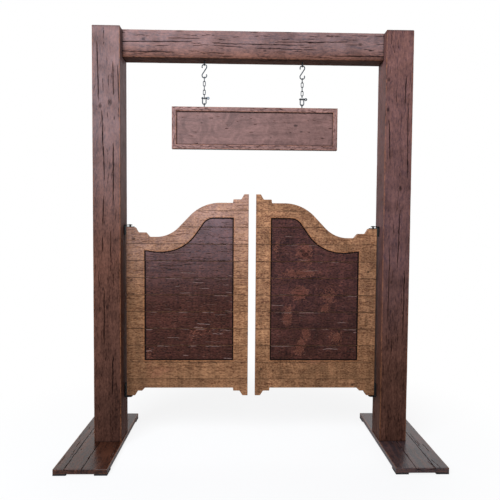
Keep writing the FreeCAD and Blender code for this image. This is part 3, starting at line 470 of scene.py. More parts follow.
def bored(bores, flat, length, across, offset, side):
    """Turn the grid's square rings round each bore to circles, and sink the points inside.

    A ring's point keeps its direction from the bore's middle. Its distance is that of its square
    at the bore and eases to its own within the room. flat is changed in place; the places along
    the grain and how free each point is to take relief are given back.
    """
    quiet = np.ones_like(length)
    for face, place_across, place_along, radius, depth in bores:
        aside, ahead = offset - place_across, length - place_along
        square = np.maximum(np.abs(aside), np.abs(ahead))
        round_off = np.hypot(aside, ahead)
        near = (side == face) & (square < radius + BORE_ROOM)
        free = smooth(square, radius, radius + BORE_ROOM)
        scale = (square * (1 - free) + round_off * free) / np.maximum(round_off, 1e-9)
        moved = place_across + aside * scale + (across - place_across - aside) * free
        index, sign = face % 2, (1 if face < 2 else -1)
        flat[..., 1 - index] = np.where(near, moved, flat[..., 1 - index])
        length = np.where(near, place_along + ahead * scale, length)
        inside = near & (square < radius - BORE_CORE * BORE_LIP)
        flat[..., index] = flat[..., index] - sign * depth * inside
        quiet = np.where(near, free, quiet)
    return length, quiet


def timber_bar(low, high, grain, pitches, arris, seed, checks=(), torn=None, spots=(),
               end_arris=2.0, mitre=None, groove=None, bores=(), waves=0.3, painted_shadow=None,
               end_shadow=0.0, rubbed=1.0):
    """A sawn timber between two corners, with worn arrises, torn grain and drying checks.

    The section is a rectangle with rounded corners. It is carried along the grain, and near each
    end it shrinks along a quarter circle. Faces are 0 +a, 1 +b, 2 -a, 3 -b, where a, b and the
    grain are X, Y and Z in turning order.

    checks: (face, place across, drift across, start, end, width). torn: short_cracks' last values.
    bores: (face, across, along, radius, depth). groove: (face, place across, half width, depth).
    mitre: (0 or 1 for a or b, sign of the outer edge). painted shadow: place of a dark line inside
    the rim.
    """
    low, high = np.array(low, float), np.array(high, float)
    middle, whole = (low + high) / 2, (high - low) / 2
    axis_a, axis_b = (grain + 1) % 3, (grain + 2) % 3
    half, reach = whole[[axis_a, axis_b]], whole[grain]
    kept_across, kept_along = {}, []
    for face, across, along, radius, _ in bores:
        kept_across.setdefault(face, []).extend(wall_places(across, radius))
        rings = np.linspace(-radius - BORE_ROOM, radius + BORE_ROOM, BORE_RINGS)
        kept_along += list(along + rings[np.abs(np.abs(rings) - radius) > 8 * BORE_LIP])
        kept_along += list(wall_places(along, radius))
    if groove:
        kept_across.setdefault(groove[0], []).extend(wall_places(*groove[1:3]))
    sharp, pull, side = bar_section(half, pitches[1], kept_across)
    ease = quarter_ease(end_arris)
    inner = places(end_arris - reach, reach - end_arris, pitches[0], kept_along)
    along = np.concatenate([ease - reach, inner[1:-1], reach - ease[::-1]])
    near_end = np.clip(reach - np.abs(along), 0, end_arris)
    inset = end_arris - np.sqrt(np.maximum(end_arris ** 2 - (end_arris - near_end) ** 2, 0))
    first, second = (patches(along, np.zeros_like(along), seed + step, *sizes)
                     for step, sizes in enumerate(ARRIS_WEAR))
    worn = arris * (0.75 + 0.6 * first * second)
    flat = sharp[None] * (1 - inset[:, None, None] / half) + pull[None] * worn[:, None, None]
    length = along[:, None] + 0 * side[None]
    sideways = side % 2 == 0
    across = np.where(sideways, flat[..., 1], flat[..., 0])
    offset = np.broadcast_to(np.where(sideways, sharp[:, 1], sharp[:, 0])[None], length.shape)
    rim = np.where(sideways, half[1], half[0]) - np.abs(across)
    apart = across + APART * side
    hollow = waves * patches(length, apart, seed + 2, *HOLLOW_SIZE)

    crack, fringe = long_checks(checks, length, across, side, seed)
    if torn:
        tears, edges, _ = short_cracks(length, apart, seed + 4, *torn)
        crack, fringe = np.maximum(crack, TORN_SHARE * tears), np.maximum(fringe, edges)
    length, quiet = bored(bores, flat, length, across, offset, side[None])
    if groove:
        face, place_across, half_width, depth = groove
        inside = (side[None] == face) & (np.abs(offset - place_across)
                                         < half_width - BORE_CORE * BORE_LIP)
        flat[..., face % 2] -= (1 if face < 2 else -1) * depth * inside
        quiet = np.where(inside, 0, quiet)
    depth = bpy.context.scene.cafe_relief.check_depth / MM
    outward = np.stack([np.cos(side * math.pi / 2), np.sin(side * math.pi / 2)], -1)[None]
    sink = (hollow + depth * np.sqrt(crack)) * smooth(rim, 0, RIM_EASE) * quiet
    flat = flat - outward * sink[..., None]
    if mitre:
        gap = half[mitre[0]] - mitre[1] * flat[..., mitre[0]]
        length = length * (reach - gap) / reach

    points = np.zeros(length.shape + (3,))
    points[..., grain] = middle[grain] + length
    points[..., axis_a] = middle[axis_a] + flat[..., 0]
    points[..., axis_b] = middle[axis_b] + flat[..., 1]
    ends = (reach - np.abs(along))[:, None] + 0 * rim
    uneven = 0.35 + 0.65 * patches(length, apart, seed + 3, 50, 30)
    wear = rubbed * bell(rim, WEAR_REACH) * uneven
    # the line round the ends is a painted contact shadow where the bar meets the next timber
    dark = np.maximum(np.clip(DARKEST * crack, 0, 1), end_shadow * bell(ends, END_SHADOW_REACH))
    # the line inside the rim is a painted shadow of the part that overlaps it
    if painted_shadow:
        line = PAINTED_SHADOW_SHARE * bell(np.minimum(rim, ends) - painted_shadow, PAINTED_SHADOW_REACH)
        dark = np.maximum(dark, line * sideways[None])
    eye, flow = knotted(length, across, spots)
    facing = ~sideways[None] if grain == 2 else sideways[None]
    return tube(points, {"wear": wear, "check": dark, "fringe": fringe, "knot": eye * facing,
                         "flow": flow * facing * MM,
                         "shift": np.full(length.shape, seed * SEED_SHIFT)})


def fine_checks(seed, faces, span, count=3, length=(120, 420), width=(2.5, 4)):
    """Random fine checks for a timber, along the grain."""
    draw = np.random.default_rng(seed)
    found = []
    for face, half in faces:
        for _ in range(count):
            size = draw.uniform(*length)
            start = draw.uniform(span[0], max(span[0], span[1] - size))
            found.append((face, draw.uniform(-0.85, 0.85) * half, draw.uniform(-5, 5), start,
                          start + size, draw.uniform(*width)))
    return found


# ---------------------------------------------------------------- leaf boards
def sweep_fall(place, run, drop, fullness, share):
    """How far an edge has fallen at a place along a sweep: an arc, its tangent and an arc.

    The two radii together are fullness times the largest pair that fits. With the arcs' common
    tangent at angle t, the first arc ends at r1 sin t and the second starts at run - r2 sin t.
    """
    radii = fullness * (run ** 2 + drop ** 2) / (2 * drop)
    first = radii * share
    second = radii - first
    turn = (math.pi / 2 - math.atan2(radii - drop, run)
            - math.acos(radii / math.hypot(run, radii - drop)))
    upper_end, lower_start = first * math.sin(turn), run - second * math.sin(turn)
    upper = first - np.sqrt(np.maximum(first ** 2 - np.minimum(place, upper_end) ** 2, 0))
    back = run - np.maximum(place, lower_start)
    lower = drop - second + np.sqrt(np.maximum(second ** 2 - back ** 2, 0))
    upper_fall = first * (1 - math.cos(turn))
    lower_fall = drop - second * (1 - math.cos(turn))
    way = np.clip((place - upper_end) / max(lower_start - upper_end, 1e-9), 0, 1)
    between = upper_fall + (lower_fall - upper_fall) * way
    return np.where(place <= upper_end, upper, np.where(place >= lower_start, lower, between))


def edge_line(x, levels, curves):
    """Height of an edge that goes through levels (start, end, height) joined by sweeps."""
    height = np.full_like(x, levels[0][2], dtype=float)
    for (_, end, here), (start, _, there), curve in zip(levels, levels[1:], curves):
        place, run = np.clip(x - end, 0, start - end), start - end
        if there < here:
            swept = here - sweep_fall(place, run, here - there, *curve)
        else:
            swept = there - sweep_fall(run - place, run, there - here, *curve)
        height = np.where(x > end, swept, height)
    return height


def running(start, lengths):
    """Places reached from a start by lengths in turn."""
    return start + np.concatenate([[0], np.cumsum(lengths)])


TIP = running(0, TIP_RUNS)
HORN = LEAF_WIDTH - running(0, HORN_RUNS)
LOCK_FOOT = running(0, LOCK_FOOT_RUNS)
HINGE_FOOT = LEAF_WIDTH - running(0, HINGE_FOOT_RUNS)
TOP_LEVELS = [(TIP[0], TIP[1], TIP_HEIGHT), (TIP[2], TIP[3], TIP_SHELF),
              (TIP[4], TIP[5], SHOULDER), (HORN[5], HORN[4], VALLEY),
              (HORN[3], HORN[2], HINGE_SHELF), (HORN[1], HORN[0], HINGE_HEIGHT)]
TOP_CURVES = [STEP_CURVE, STEP_CURVE, SWEEP_CURVE, STEP_CURVE, STEP_CURVE]
FOOT_LEVELS = [(LOCK_FOOT[0], LOCK_FOOT[1], 0), (LOCK_FOOT[2], LOCK_FOOT[3], FOOT_SHELF),
               (LOCK_FOOT[4], HINGE_FOOT[4], BELLY), (HINGE_FOOT[3], HINGE_FOOT[2], FOOT_SHELF),
               (HINGE_FOOT[1], HINGE_FOOT[0], 0)]
FIELD_LEVELS = [(FIELD_LOCK, FIELD_LOCK + FIELD_SHOULDER_RUN, FIELD_SHOULDER),
                (FIELD_HINGE - FIELD_FLICK_RUN - FIELD_VALLEY_RUN, FIELD_HINGE - FIELD_FLICK_RUN,
                 FIELD_VALLEY), (FIELD_HINGE, FIELD_HINGE, FIELD_CORNER)]
SLOPE_STEP = 0.5


def top_edge(x):
    """Height of the leaf's top edge."""
    return edge_line(x, TOP_LEVELS, TOP_CURVES)


def foot_edge(x):
    """Height of the leaf's bottom edge."""
    return edge_line(x, FOOT_LEVELS, [STEP_CURVE] * 4)


def into_field(x, z):
    """Distance inside the field's outline, and the direction in which it grows.

    The distance is the least of those to the two upright sides, the foot and the swept top. The
    last is the height under the sweep divided by the length of the sweep's slope (1, slope).
    """
    inside = np.clip(x, FIELD_LOCK, FIELD_HINGE)
    top = edge_line(inside, FIELD_LEVELS, FIELD_CURVES)
    beside = np.minimum(inside + SLOPE_STEP, FIELD_HINGE)
    slope = (edge_line(beside, FIELD_LEVELS, FIELD_CURVES) - top) / SLOPE_STEP
    steep = np.sqrt(1 + slope ** 2)
    ways = np.stack([x - FIELD_LOCK, FIELD_HINGE - x, z - FIELD_FOOT, (top - z) / steep])
    nearest = ways.argmin(0)
    zero = 0 * x
    push_x = np.choose(nearest, [1 + zero, -1 + zero, zero, slope / steep])
    push_z = np.choose(nearest, [zero, zero, 1 + zero, -1 / steep])
    return ways.min(0), push_x, push_z


def field_depth(inside):
    """Depth under the border's face: none outside, the groove, then the sunk field."""
    relief = bpy.context.scene.cafe_relief
    groove, sink = relief.leaf_groove / MM, relief.leaf_sink / MM
    rim, outer, inner, island = GROOVE_MARKS
    return groove * smooth(inside, rim, outer) - (groove - sink) * smooth(inside, inner, island)


def board_levels():
    """Heights of the joints between boards."""
    middle = HINGE_HEIGHT + JOINT_OVER_HINGE
    lower = [middle * k / LOWER_BOARDS for k in range(1, LOWER_BOARDS + 1)]
    return [-1.0] + lower + [(middle + TIP_HEIGHT) / 2, TIP_HEIGHT + 1]


STEP_FINE, CURL_FINE = 1.5, 0.8     # grid pitch over the outline's steps, and over its small ones
PROBES = 6881                       # places at which a board's end is looked for
WALL_MIDDLES = (0.5, 5.5)
WALL_PULL = (0.75, 1.1)             # how much of the way points slide to a wall, and from how far
FACE_FRONT, FACE_BACK, FACE_FOOT = 0, 4, 6      # blocks of the section's loop
FLANGE_LIP = 0.01                   # run of the wall of the flange's room


def board_stations(number, end, on_sweep):
    """Places along the numbered board at which its section stands."""
    ease = quarter_ease(OUTLINE_ARRIS)
    kept = [FIELD_LOCK + m for m in GROOVE_MARKS] + [FIELD_HINGE - m for m in GROOVE_MARKS]
    kept += [*TIP[1:4], *HORN[1:4]]
    inner = places(OUTLINE_ARRIS, end - OUTLINE_ARRIS, SWEEP_PITCH if on_sweep else BOARD_PITCH,
                   kept)
    spans = {LAST_BOARD: ((TIP[1], TIP[2], STEP_FINE), (TIP[3], TIP[4], CURL_FINE)),
             LOWER_BOARDS: ((HORN[2], HORN[1], STEP_FINE), (HORN[4], HORN[3], STEP_FINE)),
             1: ((LOCK_FOOT[1], LOCK_FOOT[2], STEP_FINE), (LOCK_FOOT[3], LOCK_FOOT[4], CURL_FINE),
                 (HINGE_FOOT[2], HINGE_FOOT[1], STEP_FINE),
                 (HINGE_FOOT[4], HINGE_FOOT[3], STEP_FINE))}
    fine = [np.arange(*span) for span in spans.get(number, ())]
    if number == 1:
        far, close, _ = FLANGE_ROOM
        fine.append(LEAF_WIDTH - np.array([far + FLANGE_LIP, far, close, close - FLANGE_LIP]))
    last = [end] if end < LEAF_WIDTH else end - ease
    return np.unique(np.concatenate([ease, inner, last] + fine))


def board_grid(number):
    """The numbered board's section at each station: its grid before any relief.

    The section is a rectangle between the foot and top edges of the outline or the joints, with an
    elliptic arris at each corner. The loop has eight blocks: front, arris, top, arris, back,
    arris, foot and arris.
    """
    low, high = board_levels()[number - 1:number + 1]
    on_sweep = high > FIELD_VALLEY and low < FIELD_SHOULDER
    probe = np.linspace(0, LEAF_WIDTH, PROBES)
    tall = top_edge(probe) > low + 0.5
    end = LEAF_WIDTH if tall.all() else probe[tall.argmin() - 1]
    open_end = end < LEAF_WIDTH
    x = board_stations(number, end, on_sweep)

    arris = OUTLINE_ARRIS
    near = np.clip(x if open_end else np.minimum(x, end - x), 0, arris)
    inset = arris - np.sqrt(arris ** 2 - (arris - near) ** 2)
    half = (LEAF_HALF - inset)[:, None]
    foot = np.maximum(low, foot_edge(x)) if number == 1 else np.full_like(x, low)
    top = np.minimum(high, top_edge(x))
    jointed = (top_edge(x) >= high)[:, None]
    tall = (top - foot)[:, None]
    arris_y = np.where(jointed, JOINT_ARRIS[0], arris)
    arris_z = np.minimum(np.where(jointed, JOINT_ARRIS[1], arris), 0.45 * tall)
    foot_y, foot_z = (arris, arris) if number == 1 else JOINT_ARRIS
    foot_z = np.minimum(foot_z, 0.45 * tall)
    foot, top = foot[:, None], top[:, None]

    marks = [FIELD_FOOT + m for m in GROOVE_MARKS]
    rows = places(max(low, 0) + 2, min(high, TIP_HEIGHT) - 2, ROW_PITCH, marks)
    share = ((rows - rows[0]) / (rows[-1] - rows[0]))[None]
    face_z = foot + foot_z + share * (tall - foot_z - arris_z)
    quarter = np.linspace(0, math.pi / 2, 4)[None, 1:-1]
    flat = np.concatenate([[1], np.linspace(0.995, -0.995, 4), [-1]])[None]
    top_y, bottom_y = half - arris_y, half - foot_y
    back = quarter[:, ::-1]
    level = 0 * flat
    blocks_y = [half + 0 * share, top_y + arris_y * np.cos(quarter), top_y * flat,
                -top_y - arris_y * np.cos(back), -half + 0 * share,
                -bottom_y - foot_y * np.cos(quarter), -bottom_y * flat,
                bottom_y + foot_y * np.cos(back)]
    blocks_z = [face_z, top - arris_z + arris_z * np.sin(quarter), top + level,
                top - arris_z + arris_z * np.sin(back), face_z[:, ::-1],
                foot + foot_z - foot_z * np.sin(quarter), foot + level,
                foot + foot_z - foot_z * np.sin(back)]
    kind = np.repeat(np.arange(8), [block.shape[1] for block in blocks_z])[None]
    y, z = np.concatenate(blocks_y, 1), np.concatenate(blocks_z, 1)
    x = x[:, None] + 0 * z
    if number == 1:
        from_hinge, edge = LEAF_WIDTH - x, FLANGE_LIP / 2
        under = (from_hinge < FLANGE_ROOM[0] + edge) & (from_hinge > FLANGE_ROOM[1] - edge)
        under &= (kind == FACE_FOOT) & (np.abs(y) < bottom_y * 0.999)
        z = z + FLANGE_ROOM[2] * under

    on_face = (kind == FACE_FRONT) | (kind == FACE_BACK)
    inside, push_x, push_z = into_field(x, z)
    rim_room = np.minimum(z - foot, top - z)
    pull, reach = WALL_PULL
    slide = 0
    for wall in WALL_MIDDLES:
        slide = slide - pull * (inside - wall) * bell(inside - wall, reach)
    slide = slide * smooth(rim_room, 1.5, 5) * on_face * on_sweep
    x, z = x + push_x * slide, z + push_z * slide
    ends = np.minimum(x, end - x + 1e3 * open_end)
    return x, y, z, (ends, rim_room), (foot, top, jointed), on_face


RAGGED_JOINT = 9                    # most that a joint's edge is torn back
JOINT_TEAR = 2.6                    # half width of a joint's torn edge
UNDER_JOINT = (3.2, 2.4)            # how far under it the painted glint on its lower lip lies, and the glint's half width
JOINT_LINE = (0.68, 1.8, 0.12)      # darkness of a joint, its reach and how much of it is even
BEHIND = 3000.0                     # offset of the back's random fields
SHORT_GLINT = 0.25                    # painted glints of short cracks over those of long ones
OUTLINE_WEAR = (0.8, 4.5)           # how much an outer arris is rubbed, and how far in
FIELD_WEAR_AND_GLINT = (2.5, 3.5)             # where the groove's rim gets rubbed stain and a painted highlight, and how far round
GROOVE_DARK = (-0.6, 0.6, 5.8, 7.2)  # where the stain in the groove starts and ends
TEAR_DARK = (1.5, 0.72, 0.25)       # darkness over depth, and its most on the border and field
HINGE_SHADE = (470, 640)


def torn_grain(place, z, seed, cracked, to_joint, high, clear):
    """Cracks, fringes and painted glints on lower lips of a board's faces, with the torn edges of
    its joints.
    """
    tear, fringe, lip = (np.zeros_like(z) for _ in range(3))
    for step, kind in enumerate(cracked):
        found = short_cracks(place, z, seed + 40 * step, *kind)
        tear, fringe = np.maximum(tear, found[0]), np.maximum(fringe, found[1])
        lip = np.maximum(lip, found[2] * (SHORT_GLINT if step else 1))
    line = 0 * z
    ragged = RAGGED_JOINT * (patches(place, line, seed + 7, 12, 9) - 0.5)
    off = to_joint - np.abs(ragged * patches(place, line, seed + 8, 50, 9))
    broken = smooth(patches(place, line, seed + 9, 45, 9), 0.4, 0.6)
    joint = wedge(off, JOINT_TEAR) * broken
    under = wedge(off - UNDER_JOINT[0], UNDER_JOINT[1]) * (high - z < to_joint + 0.1) * broken
    shown = smooth(patches(place, line, seed + 10, 130, 9), 0.4, 0.65)
    lip = np.maximum(0.8 * lip, 0.8 * under * shown)
    return np.maximum(tear, joint) * clear, np.maximum(fringe, 0.6 * joint) * clear, lip * clear


def board_skin(number, seed, spots, rubs, cracked, shades):
    """The numbered board of the right leaf, in its place.

    Its section is carried along the board, and both faces sink by the depth of the field and
    groove, by a soft hollow and by torn grain. Grid points near the groove's walls slide onto
    them, so that the walls follow the sweep.
    """
    x, y, z, (ends, rim_room), (foot, top, jointed), on_face = board_grid(number)
    high = board_levels()[number]
    inside = into_field(x, z)[0]
    draw = np.random.default_rng(seed)
    lie_back = draw.uniform(0, bpy.context.scene.cafe_relief.leaf_step / MM)
    hollow = lie_back + 0.5 * patches(x, 3 * z, seed, 210, 200)
    place = x + BEHIND * (y > 0)
    to_joint = np.minimum(np.where(jointed, top - z, 1e3), z - foot if number > 1 else 1e3)
    in_field = smooth(inside, *GROOVE_MARKS[2:]) * on_face

    clear = smooth(ends, 0, 9) * smooth(np.abs(inside - 3), 3, 6) * on_face
    clear = clear * (0.25 + 0.75 * smooth(z, 110, 190)) * (1 - 0.35 * smooth(z, 850, 1050))
    tear, fringe, lip = torn_grain(place, z, seed, cracked, to_joint, high, clear)
    # the glints on lower lips are painted highlights, fainter higher up
    lip = lip * (1 - 0.35 * smooth(z, 450, 750))
    eased = smooth(ends, 0, 12) * smooth(rim_room, 0, 4)
    y = y - np.sign(y) * (field_depth(inside) + (hollow + TEAR_DEPTH * tear) * eased) * on_face

    outline_top = np.where(jointed, 1e3, top - z)
    outline_foot = z - foot if number == 1 else 1e3 + 0 * z
    to_rim = np.minimum(np.minimum(outline_top, outline_foot), ends)
    wear = OUTLINE_WEAR[0] * bell(to_rim, OUTLINE_WEAR[1])
    wear = wear * (0.4 + 0.6 * patches(place, z, seed + 11, 30, 18))
    # the groove's outer rim: rubbed stain and a painted highlight where its arris catches the
    # light
    wear = wear + bell(inside + FIELD_WEAR_AND_GLINT[0], FIELD_WEAR_AND_GLINT[1]) * (inside < 0) * on_face
    strength, reach, even = JOINT_LINE
    joint_line = strength * bell(to_joint, reach) * (
        even + (1 - even) * patches(place, z, seed + 12, 110, 9))
    groove = smooth(inside, *GROOVE_DARK[:2]) * (1 - smooth(inside, *GROOVE_DARK[2:])) * on_face
    torn = np.clip(TEAR_DARK[0] * tear, 0, TEAR_DARK[1] + TEAR_DARK[2] * in_field)
    dark = np.maximum(np.maximum(groove, joint_line), torn)
    eye, flow = knotted(place, z, [(a, b - FOOT, size) for a, b, size in spots])
    rub = np.zeros_like(z)
    for rub_x, rub_z, run, rise, amount in rubs:
        off = np.hypot((x - rub_x) / run, (z + FOOT - rub_z) / rise)
        rub = np.maximum(rub, amount * (1 - smooth(off, 0.0, 1.5)) * (y < 0))
    lighter, darker, fades = shades
    # lighter towards the meeting edge and darker towards the hinge edge, on the border only
    edge_tone = lighter * (1 - smooth(x, 70, fades)) - darker * smooth(x, *HINGE_SHADE)
    tone_up = draw.uniform(0.94, 1.06) * (1 + edge_tone * (1 - in_field))
    points = np.stack([LEAF_INNER + x, DOOR_LINE + y, FOOT + z], -1)
    return tube(points, {
        "field": in_field, "wear": np.clip(wear, 0, 1), "check": dark, "fringe": fringe,
        "lip": lip * in_field, "knot": eye * on_face, "flow": flow * on_face * MM,
        "rub": rub * on_face, "tone": tone_up, "shift": np.full(x.shape, draw.uniform(0, 9))})


# ---------------------------------------------------------------- metal pieces
X, Y, Z = np.eye(3)
CAP_STEPS = 5           # rings of the half sphere that ends a wire
THIN = 0.1              # radius at which a turned piece's profile meets its axis


def wire(path, normal, radius, inner=0, closed=False, around=16):
    """Round wire along a flat path.

    At each point the circle is radius (side cos + normal sin), where side is square to the path
    and to its plane's normal. An open wire ends in half spheres. inner is 1 or -1 where the path
    turns towards or away from that side, and darkens the hollow of the bend.
    """
    path, normal = np.array(path, float), np.array(normal, float)
    radius = np.full(len(path), radius) if np.isscalar(radius) else radius
    inner = np.full(len(path), float(inner)) if np.isscalar(inner) else inner
    if closed:
        ahead = np.roll(path, -1, 0) - np.roll(path, 1, 0)
    else:
        ahead = np.gradient(path, axis=0)
        ahead /= np.linalg.norm(ahead, axis=1)[:, None]
        turn = np.linspace(0, math.pi / 2, CAP_STEPS)[1:]
        rise, shrink = np.sin(turn)[:, None], np.maximum(np.cos(turn), 0.02)
        start = path[0] - ahead[0] * radius[0] * rise[::-1]
        end = path[-1] + ahead[-1] * radius[-1] * rise
        path = np.concatenate([start, path, end])
        radius = np.concatenate([radius[0] * shrink[::-1], radius, radius[-1] * shrink])
        inner = np.pad(inner, len(turn), mode="edge")
        ahead = np.pad(ahead, ((len(turn), len(turn)), (0, 0)), mode="edge")
    ahead = ahead / np.linalg.norm(ahead, axis=1)[:, None]
    across = np.cross(normal[None], ahead)
    angle = np.linspace(0, 2 * math.pi, around, endpoint=False)
    ring = across[:, None] * np.cos(angle)[None, :, None] + normal * np.sin(angle)[None, :, None]
    # darker on the inner side of each bend
    soil = smooth(inner[:, None] * np.cos(angle)[None], 0.0, 0.9)
    return tube(path[:, None] + radius[:, None, None] * ring, {"soil": soil}, closed)


def turned(profile, centre, axis, around=28):
    """A turned piece: each (radius, height) of the profile goes round the axis by the centre."""
    profile = np.array(profile, float)
    axis = Vector(axis).normalized()
    turn = np.array(Vector((0, 0, 1)).rotation_difference(axis).to_matrix())
    angle = np.linspace(0, 2 * math.pi, around, endpoint=False)
    radius, height = profile[:, :1], profile[:, 1:]
    flat = np.stack([radius * np.cos(angle), radius * np.sin(angle), height + 0 * angle], -1)
    return tube(flat @ turn.T + np.array(centre, float))


def arc(centre, radius, start, end, plane, steps=None):
    """Points of an arc from one angle to another, in degrees, in the plane of two directions."""
    steps = steps or max(3, round(abs(end - start) / 9))
    angle = np.radians(np.linspace(start, end, steps + 1))[:, None]
    over, up = np.array(plane[0]), np.array(plane[1])
    return np.array(centre) + radius * (np.cos(angle) * over + np.sin(angle) * up)


def screw_eye_skins(x, seat, way, ring_radius):
    """Screw eye: a bent ring whose end nearly meets the neck, a collar and a buried shank."""
    up = Z * way
    foot = np.array([x, DOOR_LINE, seat])
    neck = EYE_NECK + EYE_WIRE
    middle = foot - up * (neck + ring_radius)
    angle = np.linspace(0, 2 * math.pi, 48, endpoint=False)[:, None]
    ring = middle + ring_radius * (np.cos(angle) * up + np.sin(angle) * Y)
    shank = [middle + up * (ring_radius + t)
             for t in np.linspace(0, neck + EYE_SHANK - EYE_WIRE, 12)]
    radius, thick = EYE_COLLAR
    collar = turned([(THIN, 0), (radius - 0.5, 0), (radius, 0.4), (radius, 1.1),
                     (radius - 0.4, thick), (THIN, thick)], foot - up * thick, up)
    return [wire(ring, X, EYE_WIRE, -way, True), wire(shank, X, EYE_WIRE), collar]


def s_hook_skin(x):
    """S-hook: two loops of bent wire joined by a slanted straight, both ends a little drawn in."""
    middle = np.array([x, DOOR_LINE, (HOOK_LOW[2] + HOOK_HIGH[2]) / 2])
    offset = (HOOK_HIGH[2] - HOOK_LOW[2]) / 2 - HOOK_WIRE - HOOK_LOOP
    slant = math.degrees(math.asin(HOOK_LOOP / offset))
    upper = arc(middle + offset * Z, HOOK_LOOP, 180 + HOOK_MOUTH, -slant, (X, Z))
    lower = arc(middle - offset * Z, HOOK_LOOP, -slant, 180 + HOOK_MOUTH, (-X, -Z))
    slope = upper[-1] + (lower[0] - upper[-1]) * np.linspace(0, 1, 8)[1:-1, None]
    inner = np.concatenate([np.ones(len(upper)), 0 * slope[:, 0], -np.ones(len(lower))])
    return wire(np.concatenate([upper, slope, lower]), Y, HOOK_WIRE, inner)


def chain_skins(x):
    """Welded links, edge-on and flat-on in turn: two half rings and two straights, one welded."""
    link_length = LINK_STRAIGHT + 2 * LINK_BEND
    top = CHAIN_HIGH[2] - LINK_WIRE
    pitch = (top - CHAIN_LOW[2] - LINK_WIRE - link_length) / (LINK_COUNT - 1)
    swell, weld_length = WELD_SWELL
    skins = []
    for index in range(LINK_COUNT):
        across, normal = ((Y, X), (X, Y))[index % 2]
        upper = np.array([x, DOOR_LINE, top - index * pitch - LINK_BEND])
        lower = upper - LINK_STRAIGHT * Z
        down = np.linspace(0, 1, 13)[1:-1, None]
        over = arc(upper, LINK_BEND, 0, 180, (across, Z), 14)
        under = arc(lower, LINK_BEND, 180, 360, (across, Z), 14)
        path = np.concatenate([over, over[-1] + (under[0] - over[-1]) * down, under,
                               under[-1] + (over[0] - under[-1]) * down])
        from_weld = (path - (upper + lower) / 2) @ Z
        weld = bell(from_weld, weld_length) * ((path - upper) @ across > 0.9 * LINK_BEND)
        inner = 1 - 2 * (index % 2)
        skins.append(wire(path, normal, LINK_WIRE * (1 + swell * weld), inner, True, 12))
    return skins


def shackle_skins(x):
    """Bow shackle: a bent bow with round eyes, and a screw pin with a drilled tab."""
    ear_radius, ear_length = SHACKLE_EAR
    outer, tab_thick, hole = SHACKLE_TAB
    pin_z = SHACKLE_HIGH[2] - outer
    foot = np.array([x, DOOR_LINE, SHACKLE_LOW[2] + SHACKLE_WIRE + SHACKLE_BOW])
    bend = arc(foot, SHACKLE_BOW, 180, 360, (X, Z), 24)
    rise = np.linspace(0, pin_z - foot[2] - 0.6 * ear_radius, 8)[1:, None] * Z
    bow = np.concatenate([(bend[0] + rise)[::-1], bend, bend[-1] + rise])
    skins = [wire(bow, Y, SHACKLE_WIRE, -1)]
    half, arris = ear_length / 2, 1.2
    ear = [(THIN, -half), (ear_radius - arris, -half), (ear_radius, arris - half),
           (ear_radius, half - arris), (ear_radius - arris, half), (THIN, half)]
    for side in (-1, 1):
        skins.append(turned(ear, (x + side * SHACKLE_BOW, DOOR_LINE, pin_z), X))
    outside, arris = SHACKLE_BOW + half, 0.6
    end = outside + SHACKLE_PIN_END
    pin = [(THIN, -end), (SHACKLE_PIN - arris, -end), (SHACKLE_PIN, arris - end),
           (SHACKLE_PIN, outside + SHACKLE_PIN), (THIN, outside + SHACKLE_PIN)]
    skins.append(turned(pin, (x, DOOR_LINE, pin_z), X))
    edge, small, large = tab_thick / 2, 0.4, 0.8
    loop = [(hole, small - edge), (hole + small, -edge), (outer - large, -edge),
            (outer, large - edge), (outer, edge - large), (outer - large, edge),
            (hole + small, edge), (hole, edge - small)]
    angle = np.linspace(0, 2 * math.pi, 28, endpoint=False)[:, None]
    radius, depth = np.array(loop).T[:, None]
    ring = np.stack([radius * np.cos(angle), depth + 0 * angle, -radius * np.sin(angle)], -1)
    centre = np.array([x + outside + outer, DOOR_LINE, pin_z])
    skins.append(tube(centre + ring[:, ::-1], closed=True))
    return skins


# ---------------------------------------------------------------- material nodes
def put(tree, kind, inputs=(), stops=(), **settings):
    """Add a shader node, set its properties and sockets, and link sockets that get an output.

    inputs: a value or an output for each socket, by name or number, or for the first ones in turn.
    """
    made = tree.nodes.new("ShaderNode" + kind)
    for key, value in settings.items():
        setattr(made, key, value)
    for key, value in (inputs if isinstance(inputs, dict) else dict(enumerate(inputs))).items():
        if isinstance(value, bpy.types.NodeSocket):
            tree.links.new(value, made.inputs[key])
        else:
            made.inputs[key].default_value = value
    for index, (position, colour) in enumerate(stops):
        elements = made.color_ramp.elements
        element = elements[index] if index < len(elements) else elements.new(1)
        element.position = position
        element.color = (*colour, 1)
    return made


def fresh_material(name):
    """An empty node material and its tree."""
    material = bpy.data.materials.new(name)
    material.use_nodes = True
    material.node_tree.nodes.clear()
    return material, material.node_tree


def along_grain(grain, along, across):
    """Scale of a pattern that is stretched along the grain, from repeats per metre each way."""
    return tuple(along if axis == grain else across for axis in range(3))


TIMBER_LOOK = {
    "field": None,                      # dark and light tone of a sunk field
    "contrast": 0.08,                   # spread of the figure from dark to light tone
    "figure": (0.4, 0.3, 0.3),          # shares of streaks, fibres and grit in the figure
    "grits": (62.0, 150.0),             # repeats of the grit per metre, along and across
    "height": (0.3, 2.2, 1.0, 1.0),     # two heights and the tint at each; where they differ, painted shade that is darker low down
    "painted_sheen": (0.0, 1.5, 2.2, "#D2B9C0"),    # painted sheen, a painted highlight high up: amount, height from which and to which, colour
    "patchy": (0.75, 1.22),             # tint of the darkest and the palest stain blotches
    "blotch_size": 0.11,
    "curl": 0.4,
    "cross": 0.0,                       # strength of brush marks across the boards
    "fringed": 0.1,                     # how far rubbed fibres show beside cracks
    "gloss": (0.36, 0.52),              # roughness of late and of early wood
    "level": 0.15,                      # specular level under the varnish
    "coat": 0.0,
}
STREAKS, FIBRES = (2.6, 45.0), (24.0, 190.0)        # repeats per metre, along and across
